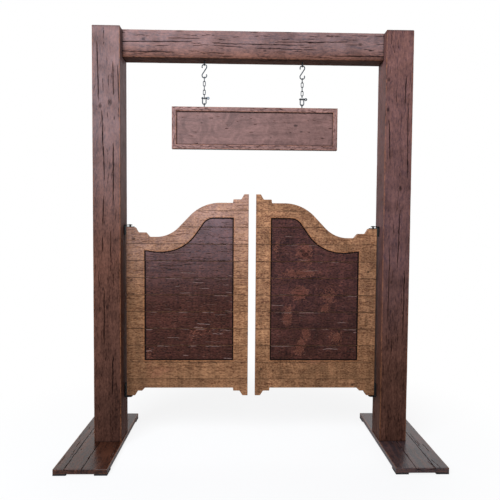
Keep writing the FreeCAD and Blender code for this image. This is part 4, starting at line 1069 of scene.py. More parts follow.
MARKS, BANDS = (150.0, 9.0, 9.0), (32.0, 4.0, 4.0)  # brush marks and their bands, by axis
MARKS_SHARE, BANDS_SHARE = 0.4, 1.3
WANDER = (4.0, 0.03)                # repeats per metre and reach of the grain's slow bends
PATTERN_SHIFT = (3.1, 1.7, 2.3)     # way in which a piece's shift moves its pattern
PATTERN_ROUGHNESS = 0.64
FIELD_CONTRAST = 0.115
MIDDLE_TONE = 0.55                  # share of the light tone at the figure's middle
# levels of a pattern between which something changes, and some with its value at both
BLOTCH_SPAN, BRUSHED_SPAN, FIGURE_SPAN = (0.32, 0.68), (0.3, 0.7), (0.4, 0.6)
EVEN_SPAN, BROKEN_SPAN = (0.0, 2.0, 0.0, 2.0), (0.36, 0.62, 0.1, 0.7)
FIELD_FRINGE = 0.3                  # fringes in a sunk field over those on its border
SHEEN_GAIN = 1.6                     # makes up for the blotches that the painted sheen is broken up by
RUB_RAGGED = (("blotch", 1.4), ("grit", 1.3))       # what frays the rubbed places' edges
RUB_SPAN = (1.68, 2.5, 0.0, 0.62)
RUB_EDGE, RUB_EDGE_SHARE = (1.96, 0.022), 0.7       # level and half width of their torn edge
# the third of these tones is that of a painted highlight, the glint on cracks' lower lips
RUBBED_STAIN, TORN_STAIN, GLINT_TONE, KNOT_TONE = "#7A4737", "#96624C", "#A58880", "#150A09"
BRUSHED_RELIEF = (("streak", 0.8), ("fibre", 0.5), ("grit", 0.4))
BRUSHED_DEPTH, BRUSHED_STRENGTH = 0.0014, 0.7
CHECK_DULL, VARNISH_ROUGHNESS = 0.35, 0.14


def timber_patterns(tree, grain, look, layer, place):
    """The timber's noise patterns, each stretched to its own repeats per metre."""
    moved = put(tree, "VectorMath", (layer["shift"], PATTERN_SHIFT, place),
                operation="MULTIPLY_ADD").outputs[0]
    aside = (0.0, 0.0, 1.0) if grain == 0 else (1.0, 0.0, 0.0)
    eased = put(tree, "VectorMath", (layer["flow"], aside, moved),
                operation="MULTIPLY_ADD").outputs[0]
    drift = put(tree, "TexNoise", {"Vector": moved, "Scale": WANDER[0], "Detail": 2.0})
    bent = put(tree, "VectorMath", (drift.outputs["Color"], (WANDER[1],) * 3, eased),
               operation="MULTIPLY_ADD").outputs[0]
    rows = [("streak", bent, along_grain(grain, *STREAKS), 4.0, 0.0),
            ("fibre", bent, along_grain(grain, *FIBRES), 3.0, 0.0),
            ("grit", moved, along_grain(grain, *look["grits"]), 3.0, 0.0),
            ("blotch", moved, (1 / look["blotch_size"],) * 3, 4.0, look["curl"])]
    if look["cross"]:
        rows += [("marks", place, MARKS, 3.0, 0.0), ("bands", place, BANDS, 2.0, 0.0)]
    noise = {}
    for key, source, scale, detail, twist in rows:
        scaled = put(tree, "VectorMath", (source, scale), operation="MULTIPLY")
        noise[key] = put(tree, "TexNoise", {
            "Vector": scaled.outputs[0], "Scale": 1.0, "Detail": detail,
            "Roughness": PATTERN_ROUGHNESS, "Distortion": twist}).outputs["Fac"]
    return noise


def summed(tree, start, noise, shares):
    """Patterns added up by their shares, on top of a start."""
    for key, share in shares:
        start = put(tree, "Math", (noise[key], share, start), operation="MULTIPLY_ADD").outputs[0]
    return start


def stained_timber(name, grain, dark, light, **changes):
    """Rustic softwood under a dark wiping stain: sawn, wire-brushed and lightly varnished.

    To the eye: dark late wood and lighter early wood in streaks, torn and cracked grain that the
    stain has filled, rubbed arrises, a soft sheen that the brushed fibres break up, and high up a
    pale tint, a painted highlight that stands in for the lamps' reflection. The tint by height is
    painted shade, darker low down. The pale glints on cracks' lower lips and part of the rub along
    each groove's rim are painted highlights, and the dark lines round the frame's joints and
    inside the sign's battens are painted shadow. Real fibres are 1 mm apart and brush marks 2 mm;
    they are drawn 5 and 7 mm apart so that they show.
    """
    look = {**TIMBER_LOOK, **changes}
    colours = bpy.context.scene.cafe_colours
    material, tree = fresh_material(name)
    keys = ["wear", "check", "fringe", "lip", "knot", "flow", "rub", "shift", "field"]
    keys += ["tone"] if look["cross"] else []
    layer = {key: put(tree, "Attribute", attribute_name=key).outputs["Fac"] for key in keys}
    place = put(tree, "TexCoord").outputs["Object"]
    noise = timber_patterns(tree, grain, look, layer, place)
    grainy = summed(tree, 0.0, noise, zip(("streak", "fibre", "grit"), look["figure"]))
    tones, stains = [(dark, light, look["contrast"])], []
    if look["field"]:
        tones.append((*look["field"], FIELD_CONTRAST))
    for deep, pale, spread in tones:
        middle = tuple((1 - MIDDLE_TONE) * a + MIDDLE_TONE * b for a, b in zip(deep, pale))
        stains.append(put(tree, "ValToRGB", (grainy,), [
            (0.5 - spread, deep), (0.5, middle), (0.5 + spread, pale)]).outputs[0])
    base = stains[0]
    if look["field"]:
        base = put(tree, "Mix", {0: layer["field"], 6: base, 7: stains[1]},
                   data_type="RGBA").outputs[2]

    # blotches, brush marks across the boards, and a tint that changes with the height: painted
    # shade, darker low down and lighter high up
    up = put(tree, "SeparateXYZ", (place,)).outputs[2]
    parts = [(noise["blotch"], *BLOTCH_SPAN, *look["patchy"]), (up, *look["height"])]
    if look["cross"]:
        marks, bands = MARKS_SHARE * look["cross"], BANDS_SHARE * look["cross"]
        parts += [(noise["marks"], *BRUSHED_SPAN, 1 - marks, 1 + marks),
                  (layer["tone"], *EVEN_SPAN),
                  (noise["bands"], *BRUSHED_SPAN, 1 - bands, 1 + bands)]
    shade = 1.0
    for part in parts:
        part = put(tree, "MapRange", part).outputs[0]
        shade = put(tree, "Math", (part, shade), operation="MULTIPLY").outputs[0]
    base = put(tree, "Mix", {0: 1.0, 6: base, 7: shade}, data_type="RGBA",
               blend_type="MULTIPLY").outputs[2]

    # painted sheen high up (a painted highlight), rubbed arrises and fringes with a painted
    # highlight on the groove's rim, places where the stain is worn, painted glints on crack lips,
    # knots, checks with painted shadow lines
    broken = put(tree, "MapRange", (noise["grit"], *BROKEN_SPAN)).outputs[0]
    faint = put(tree, "MapRange", {0: layer["field"], 3: look["fringed"],
                                   4: FIELD_FRINGE * look["fringed"]}).outputs[0]
    faint = put(tree, "Math", (broken, faint), operation="MULTIPLY").outputs[0]
    ragged = summed(tree, layer["rub"], noise, RUB_RAGGED)
    rub = put(tree, "MapRange", (ragged, *RUB_SPAN)).outputs[0]
    edge = put(tree, "Math", (ragged, *RUB_EDGE), operation="COMPARE").outputs[0]
    # painted highlight: the upper parts are tinted pale, as if they mirrored the lamps
    amount, low, high, sheen_code = look["painted_sheen"]
    sheen_share = put(tree, "MapRange", (up, low, high, 0.0, SHEEN_GAIN * amount),
               interpolation_type="SMOOTHSTEP").outputs[0]
    sheen_share, rubbed, fringe, edge = (
        put(tree, "Math", pair, operation="MULTIPLY").outputs[0] for pair in (
            (sheen_share, noise["blotch"]), (layer["wear"], broken), (layer["fringe"], faint),
            (edge, RUB_EDGE_SHARE)))
    for share, colour in (
            (sheen_share, tone(sheen_code)), (rubbed, colours.rubbed), (fringe, colours.rubbed),
            (rub, tone(RUBBED_STAIN)), (edge, tone(TORN_STAIN)), (layer["lip"], tone(GLINT_TONE)),
            (layer["knot"], tone(KNOT_TONE)), (layer["check"], colours.check)):
        base = put(tree, "Mix", {0: share, 6: base, 7: (*colour, 1)}, data_type="RGBA").outputs[2]

    raised = summed(tree, 0.0, noise, BRUSHED_RELIEF)
    bump = put(tree, "Bump", {"Height": raised, "Distance": BRUSHED_DEPTH,
                              "Strength": BRUSHED_STRENGTH}).outputs[0]
    dull = put(tree, "MapRange", (grainy, *FIGURE_SPAN, *look["gloss"])).outputs[0]
    dull = put(tree, "Math", (layer["check"], CHECK_DULL, dull), operation="MULTIPLY_ADD",
               use_clamp=True).outputs[0]
    shader = put(tree, "BsdfPrincipled", {
        "Base Color": base, "Roughness": dull, "Normal": bump, "Coat Normal": bump,
        "Specular IOR Level": look["level"], "Coat Weight": look["coat"],
        "Coat Roughness": VARNISH_ROUGHNESS})
    put(tree, "OutputMaterial", (shader.outputs[0],))
    return material


SPECK_SPAN = (0.3, 0.7)         # levels of the specks between which the sheen changes
DULL_SHARE = 0.6                # tone of a metal's dull patches over that of the metal


def mottled(name, specks, stops, relief, rough=None, soil=None, **sockets):
    """A plain finish with soft specks in its colour and sheen, and a fine bump.

    specks: repeats per metre and detail. stops: place and tone of low and of high specks.
    relief: repeats, detail, height in metres and strength of the bump. rough: roughness of low
    and of high specks. The last tone, if given, darkens the hollows of bent wire.
    """
    material, tree = fresh_material(name)
    place = put(tree, "TexCoord").outputs["Object"]
    speck, fine = (put(tree, "TexNoise", {"Vector": place, "Scale": scale,
                                          "Detail": detail}).outputs["Fac"]
                   for scale, detail in (specks, relief[:2]))
    shade = put(tree, "ValToRGB", (speck,), stops).outputs[0]
    if soil:
        hollow = put(tree, "Attribute", attribute_name="soil").outputs["Fac"]
        shade = put(tree, "Mix", {0: hollow, 6: shade, 7: (*tone(soil), 1)},
                    data_type="RGBA").outputs[2]
    if rough:
        sockets["Roughness"] = put(tree, "MapRange", (speck, *SPECK_SPAN, *rough)).outputs[0]
    bump = put(tree, "Bump", {"Height": fine, "Distance": relief[2], "Strength": relief[3]})
    shader = put(tree, "BsdfPrincipled", {"Base Color": shade, "Normal": bump.outputs[0],
                                          **sockets})
    put(tree, "OutputMaterial", (shader.outputs[0],))
    return material


def bare_metal(name, code, rough, soil=None):
    """Drawn, turned or sintered metal, zinc plated or oiled.

    To the eye: a clear mirror, roughened by a grain 1 mm wide and broken up by dull, darker
    patches 11 mm wide.
    """
    colour = tone(code)
    stops = [(0.32, tuple(DULL_SHARE * c for c in colour)), (0.62, colour)]
    return mottled(name, (90.0, 3.0), stops, (900.0, 2.0, 0.0002, 0.25), rough, soil,
                   Metallic=1.0)


def black_enamel(name):
    """Pressed steel under black stoved enamel: near black, satin, an orange peel 2 mm wide."""
    return mottled(name, (60.0, 3.0), [(0.35, tone("#0B0A0B")), (0.7, tone("#171516"))],
                   (420.0, 2.0, 0.0004, 0.3), (0.46, 0.62), **{"Specular IOR Level": 0.1})


def moulded_rubber(name):
    """Moulded black rubber: matt, slightly grey with dust."""
    return mottled(name, (120.0, 4.0), [(0.35, tone("#101010")), (0.7, tone("#262422"))],
                   (120.0, 4.0, 0.0004, 0.3), Roughness=0.8)


def dress(nodes, material):
    """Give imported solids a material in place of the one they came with."""
    for node in nodes:
        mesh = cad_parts[node].data
        mesh.materials.clear()
        mesh.materials.append(material)


# ---------------------------------------------------------------- frame operators
LAG_BORE = 11.0
LAG_POST_BORE = 60.0
LAG_BASE_BORE = 8.0
LINTEL_LAGS = (2198.0, 2268.0)
BASE_LAGS_X = (752.0, 842.0)
BASE_LAGS_Y = (-27.0, 63.0)
BASE_LINES = {"left": (-79.0, 8.0), "right": (-32.0, 65.0)}
BASE_LINE = (-420, 420, 3.6)        # start, end and width of a base board's glue line

# long checks in the posts' fronts: place across, drift, from and to height, width
POST_CHECKS = {
    "left": ((-44, -8, 1905, 2226, 6), (39, -3, 1935, 2116, 5), (66, -4, 1895, 2090, 5),
             (-17, -12, 1485, 1848, 7), (37, 2, 1345, 1683, 7), (-18, 7, 1235, 1388, 6),
             (-22, 1, 1090, 1168, 5), (21, 1, 1048, 1206, 5), (-16, 2, 575, 882, 6),
             (29, 3, 298, 515, 7)),
    "right": ((-49, -9, 1603, 1828, 6), (-17, 3, 508, 618, 5), (34, 6, 1900, 2060, 5),
              (52, -5, 1500, 1930, 6), (12, 9, 1010, 1330, 6), (47, 3, 640, 1000, 6),
              (-38, 5, 700, 1120, 5)),
}
# knots: place across, height, size
POST_KNOTS = {
    "left": ((1, 790, 9), (-21, 884, 8), (20, 1900, 15), (-32, 1880, 11), (44, 1815, 6)),
    "right": ((-60, 2040, 9), (-61, 1880, 9), (15, 1450, 11), (-25, 930, 8)),
}
# the same for the lintel: checks run from and to places along it, knots have theirs first
LINTEL_CHECKS = ((11, 3, -760, -330, 5), (-44, -4, -760, -420, 5), (-52, 2, 420, 760, 5),
                 (31, 2, -480, -290, 4), (4, -3, -220, 280, 4), (22, 4, 250, 520, 4))
LINTEL_KNOTS = ((-605, 24, 9), (590, 12, 9), (645, -20, 7), (60, -30, 8))
# fine checks: faces with half the width that they may lie in, then from and to where
POST_FINE = ([(0, 70), (1, 70), (2, 70)], (-1060, 1100))
LINTEL_FINE = ([(0, 66), (1, 40), (2, 66), (3, 40)], (-715, 715))
POST_SEEDS, LINTEL_SEEDS, BASE_SEED_STEP = {"left": 11, "right": 23}, (31, 37), 5
POST_OUTER = {"left": 2, "right": 0}        # the face that turns away from the doorway

# grid along and across the grain, and short cracks: cell, half length and width, share of cells
POST_GRID, POST_TORN = (9, 2.1), ((60, 22), 42, 1.7, 0.22)
LINTEL_GRID, LINTEL_TORN = (8, 2.1), ((60, 18), 46, 1.8, 0.3)
BASE_GRID, BASE_TORN = (8, 2.2), ((120, 26), 60, 1.8, 0.2)
PANEL_GRID, PANEL_TORN = (7, 2.4), ((40, 22), 20, 1.4, 0.2)
BATTEN_GRID, BATTEN_TORN = (6, 1.6), ((30, 9), 16, 1.8, 0.4)
SOFT_ARRIS = 2.2                            # worn radius of base boards and battens

WIPED = {"gloss": (0.5, 0.66), "level": 0.07, "figure": (0.3, 0.3, 0.4)}
# the height tints paint shade: the posts are darker low down and lighter high up
POST_LOOKS = {
    # the sheen in these looks is a painted highlight, stronger on the left post
    "left": {"height": (0.3, 1.7, 0.58, 0.94), "painted_sheen": (0.15, 1.0, 1.9, "#BCB4BE")},
    "right": {"height": (0.3, 2.3, 0.6, 1.26), "painted_sheen": (0.065, 0.4, 1.2, "#A69CBE")},
}
# the lintel's height tint darkens its lowest edge, painted shade under it; its sheen is a painted
# highlight
LINTEL_LOOK = {"height": (2.155, 2.18, 0.7, 1.06), "painted_sheen": (0.18, 2.15, 2.25, "#C6B8C0")}
# the base boards' painted sheen lies evenly over them, as its heights are below the floor: a pale
# blue cast, a painted reflection of the room
BASE_LOOKS = {"left": {"coat": 0.36, "painted_sheen": (0.0, -1.0, -0.5, "#9AA9BE")},
              "right": {"coat": 0.5, "painted_sheen": (0.05, -1.0, -0.5, "#9AA9BE")}}


def mirrored_corners(low, high):
    """The left-hand copy of a right-hand box."""
    return (-high[0], low[1], low[2]), (-low[0], high[1], high[2])


class CAFE_OT_frame_timbers(bpy.types.Operator):
    """Posts, lintel and base boards"""

    bl_idname = "cafe_doors.frame_timbers"
    bl_label = "Frame timbers"

    def execute(self, context):
        """Make the frame's five timbers."""
        colours = context.scene.cafe_colours
        arris = context.scene.cafe_relief.post_arris / MM
        stain = (colours.frame_dark, colours.frame_light)
        post_finishes = {side: stained_timber(f"walnut_stained_pine_{side}_post", 2, *stain,
                                              contrast=0.15, **WIPED, **POST_LOOKS[side])
                         for side in SIDES}
        lintel_finish = stained_timber("walnut_stained_pine_lintel", 0, *stain,
                                       contrast=0.12, **WIPED, **LINTEL_LOOK)
        base_finishes = {side: stained_timber(f"varnished_dark_pine_{side}", 1,
                                              colours.base_dark, colours.base_light,
                                              gloss=(0.3, 0.45), contrast=0.05,
                                              **BASE_LOOKS[side])
                         for side in SIDES}
        middle = (POST_LOW[2] + POST_HIGH[2]) / 2
        for side in SIDES:
            seed = POST_SEEDS[side]
            low, high = POST_LOW, POST_HIGH
            base_low, base_high = BASE_LOW, BASE_HIGH
            if side == "left":
                low, high = mirrored_corners(low, high)
                base_low, base_high = mirrored_corners(base_low, base_high)
            checks = [(3, place, drift, start - middle, end - middle, width)
                      for place, drift, start, end, width in POST_CHECKS[side]]
            bores = [(POST_OUTER[side], DOOR_LINE - (low[1] + high[1]) / 2, z - middle, LAG_BORE,
                      LAG_POST_BORE) for z in LINTEL_LAGS]
            knots = [(z - middle, x, size) for x, z, size in POST_KNOTS[side]]
            # the posts' ends get a painted contact shadow
            skin = timber_bar(low, high, 2, POST_GRID, arris, seed,
                              checks + fine_checks(seed, *POST_FINE), POST_TORN, knots,
                              bores=bores, end_shadow=0.6)
            piece(f"{side}_post_timber", [skin], post_finishes[side], "frame",
                  [f"{side}_post"])

            centre = (base_low[0] + base_high[0]) / 2
            lags = [(2, (x if side == "right" else -x) - centre, y, LAG_BORE, LAG_BASE_BORE)
                    for x in BASE_LAGS_X for y in BASE_LAGS_Y]
            lines = [(0, place, 0, *BASE_LINE) for place in BASE_LINES[side]]
            skin = timber_bar(base_low, base_high, 1, BASE_GRID, SOFT_ARRIS,
                              seed + BASE_SEED_STEP, lines, BASE_TORN, bores=lags)
            piece(f"{side}_base_timber", [skin], base_finishes[side], "frame",
                  [f"{side}_base_board"])
        checks = fine_checks(LINTEL_SEEDS[0], *LINTEL_FINE)
        checks += [(2, *check) for check in LINTEL_CHECKS]
        # the lintel's ends get a painted contact shadow where they meet the posts
        skin = timber_bar(LINTEL_LOW, LINTEL_HIGH, 0, LINTEL_GRID, arris, LINTEL_SEEDS[1],
                          checks, LINTEL_TORN, LINTEL_KNOTS, end_arris=0.8, end_shadow=0.7,
                          rubbed=0.4)
        piece("lintel_timber", [skin], lintel_finish, "frame", ["lintel"])
        return {"FINISHED"}


class CAFE_OT_feet_and_lags(bpy.types.Operator):
    """Rubber pads and lag screws"""

    bl_idname = "cafe_doors.feet_and_lags"
    bl_label = "Pads and lag screws"

    def execute(self, context):
        """Dress the pads and the lag screws."""
        dress(["base_pads"], moulded_rubber("moulded_black_rubber"))
        # bright zinc: a pale, dull mirror
        dress(["lag_screws"], bare_metal("zinc_plated_lag", "#B9BDBE", (0.34, 0.46)))
        return {"FINISHED"}


# ---------------------------------------------------------------- leaf operators
# knots in the leaves' fronts: from the meeting edge, height over the floor, size
LEAF_KNOTS = {
    "left": ((429, 915, 6), (647, 1162, 8), (661, 929, 7), (648, 851, 6), (331, 1086, 6)),
    "right": ((264, 1098, 12), (280, 1078, 17), (304, 1062, 10), (300, 1096, 7), (262, 1058, 7),
              (140, 740, 8), (480, 640, 7), (35, 420, 8), (640, 980, 7), (560, 330, 8)),
}
# cracked grain, long cracks and then short ones: cell, half length and width, share of cells
LEAF_CRACKS = {"left": (((70, 15), 50, 2.6, 0.42), ((21, 9), 11, 1.7, 0.45)),
               "right": (((72, 24), 52, 2.4, 0.36), ((18, 9), 9, 1.9, 0.45))}
# how much lighter the meeting edge is than the middle, how much darker the hinge edge is, and
# how far from the meeting edge the lighter part ends
LEAF_SHADES = {"left": (0.23, 0.18, 470), "right": (0.15, 0.02, 230)}
# places where the stain is rubbed thin: from the meeting edge, height, half sizes, strength
LEAF_RUBS = {
    "left": ((500, 400, 90, 60, 0.55), (250, 620, 120, 60, 0.45), (560, 470, 40, 90, 0.5)),
    "right": ((284, 1075, 60, 60, 0.85), (255, 969, 115, 30, 0.95), (253, 855, 60, 52, 0.9),
              (183, 718, 42, 75, 0.9), (292, 625, 34, 50, 0.85), (398, 769, 42, 32, 0.85),
              (257, 552, 42, 68, 0.85), (465, 603, 50, 60, 0.8), (420, 860, 90, 110, 0.6),
              (120, 1100, 30, 90, 0.6), (330, 460, 120, 24, 0.6)),
}
LEAF_SEEDS = {"left": 100, "right": 200}
# the height tint paints shade: the leaves are darker low down
LEAF_LOOK = {"height": (0.35, 1.35, 0.8, 1.0), "figure": (0.2, 0.25, 0.55), "level": 0.1,
             "fringed": 0.8}
LEAF_LOOKS = {
    # the sheen in these looks is a painted highlight, stronger on the left leaf
    "left": {"patchy": (0.8, 1.16), "blotch_size": 0.13, "painted_sheen": (0.2, 0.75, 1.4, "#D2B9C0"),
             "cross": 0.17, "contrast": 0.12, "grits": (75.0, 150.0)},
    "right": {"patchy": (0.66, 1.27), "blotch_size": 0.08, "painted_sheen": (0.016, 0.4, 0.9, "#A69CBE"),
              "cross": 0.19, "contrast": 0.11, "grits": (90.0, 140.0)},
}


class CAFE_OT_leaf_boards(bpy.types.Operator):
    """The edge-jointed boards of both leaves"""

    bl_idname = "cafe_doors.leaf_boards"
    bl_label = "Leaf boards"

    def execute(self, context):
        """Make the twelve boards of each leaf."""
        colours = context.scene.cafe_colours
        for side in SIDES:
            finish = stained_timber(f"brushed_{side}_leaf_pine", 0, colours.leaf_dark,
                                    colours.leaf_light,
                                    field=(colours.field_dark, colours.field_light),
                                    **LEAF_LOOK, **LEAF_LOOKS[side])
            for number in range(1, LAST_BOARD + 1):
                skin = board_skin(number, LEAF_SEEDS[side] + number, LEAF_KNOTS[side],
                                  LEAF_RUBS[side], LEAF_CRACKS[side], LEAF_SHADES[side])
                if side == "left":
                    skin = flipped(skin)
                piece(f"{side}_leaf_board_{number:02d}", [skin], finish, f"{side}_leaf",
                      [f"{side}_board_{number:02d}"])
        return {"FINISHED"}


class CAFE_OT_pivots(bpy.types.Operator):
    """Brackets, pins, sockets, barrels, springs, washers and their screws"""

    bl_idname = "cafe_doors.pivots"
    bl_label = "Spring pivots"

    def execute(self, context):
        """Dress the pivots and their screws."""
        parts = ("top_bracket", "bottom_bracket", "top_socket", "spring_barrel", "leaf_screws")
        black = [f"{side}_{part}" for side in SIDES for part in parts]
        dress(black + ["bracket_screws", "top_pins", "bottom_pins"],
              black_enamel("black_stoved_enamel"))
        # oiled steel: a dark, wet grey. Bronze pressed from powder: a dull brown
        dress([f"{side}_spring" for side in SIDES],
              bare_metal("turned_oiled_steel", "#6E7072", (0.25, 0.37)))
        dress(["thrust_washers"], bare_metal("sintered_bronze", "#9A6B3C", (0.4, 0.55)))
        return {"FINISHED"}


# ---------------------------------------------------------------- sign operators
SIGN_GROOVE = 8.0                   # depth of the battens' groove
SIGN_FREE = 0.3                     # room round the panel in it
PANEL_SEED, BATTEN_SEED = 61, 70
PANEL_KNOTS = ((230, 20, 9), (262, -14, 7), (-300, 30, 6), (90, -48, 5))
# battens: grain, axis and side of the outer edge in the section, face that looks at the panel
BATTENS = {"top": (0, (1, 1), 3), "bottom": (0, (1, -1), 1),
           "left": (2, (0, -1), 0), "right": (2, (0, 1), 2)}


class CAFE_OT_hanging_gear(bpy.types.Operator):
    """Screw eyes, S-hooks, chains and shackles"""

    bl_idname = "cafe_doors.hanging_gear"
    bl_label = "Hanging gear"

    def execute(self, context):
        """Make the bright hanging gear of both sides."""
        # drawn wire under zinc: cool, clear highlights on a dark grey, with darker hollows
        zinc = bare_metal("zinc_plated_wire", "#353C42", (0.18, 0.34), "#23272A")
        for name, body, node, *seat in (
                ("lintel_screw_eyes", "frame", "lintel_eyes", LINTEL_LOW[2], 1, LINTEL_EYE_RING),
                ("sign_screw_eyes", "sign", "sign_eyes", SIGN_TOP, -1, SIGN_EYE_RING)):
            eyes = screw_eye_skins(-CHAIN_X, *seat) + screw_eye_skins(CHAIN_X, *seat)
            piece(name, eyes, zinc, body, [node])
        for side, x in zip(SIDES, (-CHAIN_X, CHAIN_X)):
            for name, skins, body, node in (
                    ("bent_s_hook", [s_hook_skin(x)], "hook", "s_hook"),
                    ("welded_chain", chain_skins(x), "hanging_chain", "chain"),
                    ("bow_shackle", shackle_skins(x), "bow", "shackle")):
                piece(f"{side}_{name}", skins, zinc, f"{side}_{body}",
                      [f"{side}_{node}"])
        return {"FINISHED"}


class CAFE_OT_sign(bpy.types.Operator):
    """The blank sign: a panel in four mitred battens"""

    bl_idname = "cafe_doors.sign"
    bl_label = "Sign board"

    def execute(self, context):
        """Make the sign's panel and its battens."""
        colours = context.scene.cafe_colours
        stain = (colours.sign_dark, colours.sign_light)
        face = stained_timber("stained_pine_sign_panel", 0, *stain, patchy=(0.7, 1.28),
                              blotch_size=0.1, contrast=0.2, curl=1.9)
        finishes = {grain: stained_timber(f"stained_pine_sign_{part}", grain, *stain,
                                          height=(0.0, 1.0, 1.2, 1.2), figure=(0.3, 0.25, 0.45))
                    for part, grain in (("rail", 0), ("stile", 2))}
        # the panel gets a painted shadow line just inside the battens
        skin = timber_bar(PANEL_LOW, PANEL_HIGH, 0, PANEL_GRID, 0.8, PANEL_SEED, (), PANEL_TORN,
                          PANEL_KNOTS, end_arris=0.8, waves=0.15, painted_shadow=SIGN_GROOVE + 1.0)
        piece("sign_panel_board", [skin], face, "sign", ["sign_panel"])
        middle, half = (PANEL_LOW[1] + PANEL_HIGH[1]) / 2, (PANEL_HIGH[1] - PANEL_LOW[1]) / 2
        for name, (grain, outer, inner_face) in BATTENS.items():
            low, high = corners(f"sign_{name}_batten")
            groove = (inner_face, middle - (low[1] + high[1]) / 2, half + SIGN_FREE,
                      SIGN_GROOVE + SIGN_FREE)
            skin = timber_bar(low, high, grain, BATTEN_GRID, SOFT_ARRIS,
                              BATTEN_SEED + grain + outer[1], (), BATTEN_TORN, end_arris=0.4,
                              mitre=outer, groove=groove, waves=0.2)
            piece(f"sign_{name}_rail", [skin], finishes[grain], "sign",
                  [f"sign_{name}_batten"])
        return {"FINISHED"}


# ---------------------------------------------------------------- stage operator
FLOOR_HUB, FLOOR_FIRST, FLOOR_RINGS, FLOOR_SPOKES = 0.02, 0.5, 24, 64
FLOOR_FADE = (0.75, 1.9)            # distances at which the seen floor starts and ends to whiten
FLOOR_SEEN = (0.82, 1.0)            # share of plain white there
PAINT = (0.5, 0.9)                  # level that lights the doors from below, and that is seen
WHITE = (1, 1, 1, 1)
LIGHT_AIM = (0, 0, 1.2)
# name, place and size in metres, setting of the power and how many times it, tint
SOFTBOXES = (
    ("front_softbox", (-1.1, -2.85, 3.35), (3.0, 1.9), "key_power", 1.0, (0.94, 0.98, 1.07)),
    ("left_softbox", (-1.6, -2.95, 1.85), (2.2, 1.2), "side_power", 1.2, (0.8, 0.95, 1.2)),
    ("right_softbox", (4.2, 1.6, 2.6), (1.6, 2.4), "side_power", 1.0, (0.94, 0.98, 1.07)),
    ("back_softbox", (0.5, 3.4, 3.0), (3.0, 1.9), "side_power", 5.0, (0.97, 0.99, 1.04)),
)
CAMERA_PLACE = (-0.07162, -2.62577, 1.21042)
CAMERA_TURNS = (0.0223, -0.0408, 0.0072)     # to the right, up and roll, in radians
CAMERA_LENS, CAMERA_SENSOR = 33.66, 36       # in millimetres
CAMERA_FAR = 60


def lay_floor(scene):
    """A round floor of matt white paint, which the camera sees fade to plain white far off."""
    rings = np.linspace(FLOOR_FIRST, scene.cafe_stage.floor_radius, FLOOR_RINGS)
    radius = np.concatenate([[FLOOR_HUB], rings])[:, None]
    angle = np.linspace(0, 2 * math.pi, FLOOR_SPOKES, endpoint=False)[None]
    disc = np.stack([radius * np.cos(angle), radius * np.sin(angle), 0 * radius * angle], -1)
    verts, quads, tris, values = tube(disc[::-1] / MM)
    fan = tris[tris[:, 0] == len(verts) - 1]
    mesh = skinned_mesh("pale_floor", [(verts, quads, fan, values)])
    floor = bpy.data.objects.new("pale_floor", mesh)
    scene.collection.objects.link(floor)

    material, tree = fresh_material("matt_white_floor_paint")
    place = put(tree, "TexCoord").outputs["Object"]
    away = put(tree, "VectorMath", (place,), operation="LENGTH").outputs["Value"]
    fade = put(tree, "MapRange", (away, *FLOOR_FADE, *FLOOR_SEEN),
               interpolation_type="SMOOTHSTEP").outputs[0]
    seen = put(tree, "LightPath").outputs["Is Camera Ray"]
    level = put(tree, "MapRange", (seen, 0.0, 1.0, *PAINT)).outputs[0]
    paint = put(tree, "BsdfPrincipled", {"Base Color": level, "Roughness": 0.8,
                                         "Specular IOR Level": 0.2})
    share = put(tree, "Math", (seen, fade), operation="MULTIPLY")
    white = put(tree, "Emission", (WHITE, 1.0))
    both = put(tree, "MixShader", (share.outputs[0], paint.outputs[0], white.outputs[0]))
    put(tree, "OutputMaterial", (both.outputs[0],))
    mesh.materials.append(material)


def light_room(scene):
    """A white room, dim as light but full where it is seen or mirrored, and soft boxes in it."""
    scene.world = bpy.data.worlds.new("pale_room")
    scene.world.use_nodes = True
    room = scene.world.node_tree
    room.nodes.clear()
    rays = put(room, "LightPath").outputs
    shown = rays["Is Camera Ray"]
    for ray in ("Is Glossy Ray", "Is Transmission Ray"):
        shown = put(room, "Math", (shown, rays[ray]), operation="MAXIMUM").outputs[0]
    level = put(room, "MapRange", (shown, 0.0, 1.0, scene.cafe_stage.fill, 1.0))
    sky = put(room, "Background", (WHITE, level.outputs[0]))
    put(room, "OutputWorld", (sky.outputs[0],))

    for name, spot, size, setting, times, tint in SOFTBOXES:
        lamp = bpy.data.lights.new(name, "AREA")
        lamp.shape = "RECTANGLE"
        lamp.size, lamp.size_y = size
        lamp.energy = times * getattr(scene.cafe_stage, setting)
        lamp.color = tint
        light = bpy.data.objects.new(name, lamp)
        light.visible_glossy = name != "back_softbox"
        scene.collection.objects.link(light)
        turn = (Vector(LIGHT_AIM) - Vector(spot)).to_track_quat("-Z", "Y")
        light.matrix_world = Matrix.Translation(spot) @ turn.to_matrix().to_4x4()


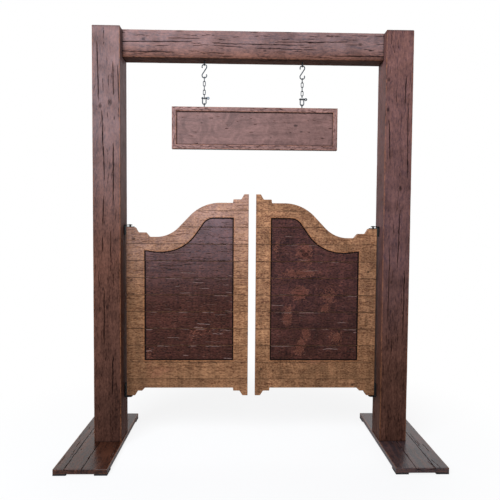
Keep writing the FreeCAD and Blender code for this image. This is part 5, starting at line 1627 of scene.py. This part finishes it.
def place_camera(scene):
    """Camera at eye height in front of the doors. Its axes come from its turn, tilt and roll."""
    yaw, pitch, roll = CAMERA_TURNS
    ahead = np.array([math.sin(yaw) * math.cos(pitch), math.cos(yaw) * math.cos(pitch),
                      math.sin(pitch)])
    right = np.array([math.cos(yaw), -math.sin(yaw), 0])
    above = np.cross(right, ahead)
    across = right * math.cos(roll) + above * math.sin(roll)
    upward = above * math.cos(roll) - right * math.sin(roll)
    lens = bpy.data.cameras.new("eye_height_camera")
    lens.lens = CAMERA_LENS
    lens.sensor_width = CAMERA_SENSOR
    lens.sensor_fit = "HORIZONTAL"
    lens.clip_end = CAMERA_FAR
    camera = bpy.data.objects.new("eye_height_camera", lens)
    scene.collection.objects.link(camera)
    turn = Matrix((across, upward, -ahead)).transposed().to_4x4()
    camera.matrix_world = Matrix.Translation(CAMERA_PLACE) @ turn
    scene.camera = camera


class CAFE_OT_stage(bpy.types.Operator):
    """Floor, room, lights and camera"""

    bl_idname = "cafe_doors.stage"
    bl_label = "Studio stage"

    def execute(self, context):
        """Make the pale floor, the soft lights and the camera."""
        context.scene.view_settings.view_transform = "Standard"
        lay_floor(context.scene)
        light_room(context.scene)
        place_camera(context.scene)
        return {"FINISHED"}


# ---------------------------------------------------------------- panel and registering
OPERATORS = (CAFE_OT_frame_timbers, CAFE_OT_feet_and_lags, CAFE_OT_leaf_boards, CAFE_OT_pivots,
             CAFE_OT_hanging_gear, CAFE_OT_sign, CAFE_OT_stage)
SETTINGS = {"cafe_colours": TimberColours, "cafe_relief": TimberRelief,
            "cafe_stage": StudioStage}


class CAFE_PT_sidebar(bpy.types.Panel):
    """Lists the pieces of the doors"""

    bl_idname = "CAFE_PT_sidebar"
    bl_label = "Cafe doors"
    bl_space_type = "VIEW_3D"
    bl_region_type = "UI"
    bl_category = "Cafe Doors"

    def draw(self, context):
        """Show the settings and a button for each operator."""
        for name in SETTINGS:
            settings = getattr(context.scene, name)
            box = self.layout.box()
            for key in settings.__annotations__:
                box.prop(settings, key)
        for operator in OPERATORS:
            self.layout.operator(operator.bl_idname)


def register():
    """Register the settings, operators and panel."""
    for name, group in SETTINGS.items():
        bpy.utils.register_class(group)
        setattr(bpy.types.Scene, name, bpy.props.PointerProperty(type=group))
    for made in (*OPERATORS, CAFE_PT_sidebar):
        bpy.utils.register_class(made)


def unregister():
    """Take the settings, operators and panel away again."""
    for made in (CAFE_PT_sidebar, *reversed(OPERATORS)):
        bpy.utils.unregister_class(made)
    for name, group in SETTINGS.items():
        delattr(bpy.types.Scene, name)
        bpy.utils.unregister_class(group)


def main():
    """Make every piece in order."""
    register()
    for operator in OPERATORS:
        group, name = operator.bl_idname.split(".")
        getattr(getattr(bpy.ops, group), name)()


if __name__ == "__main__":
    main()
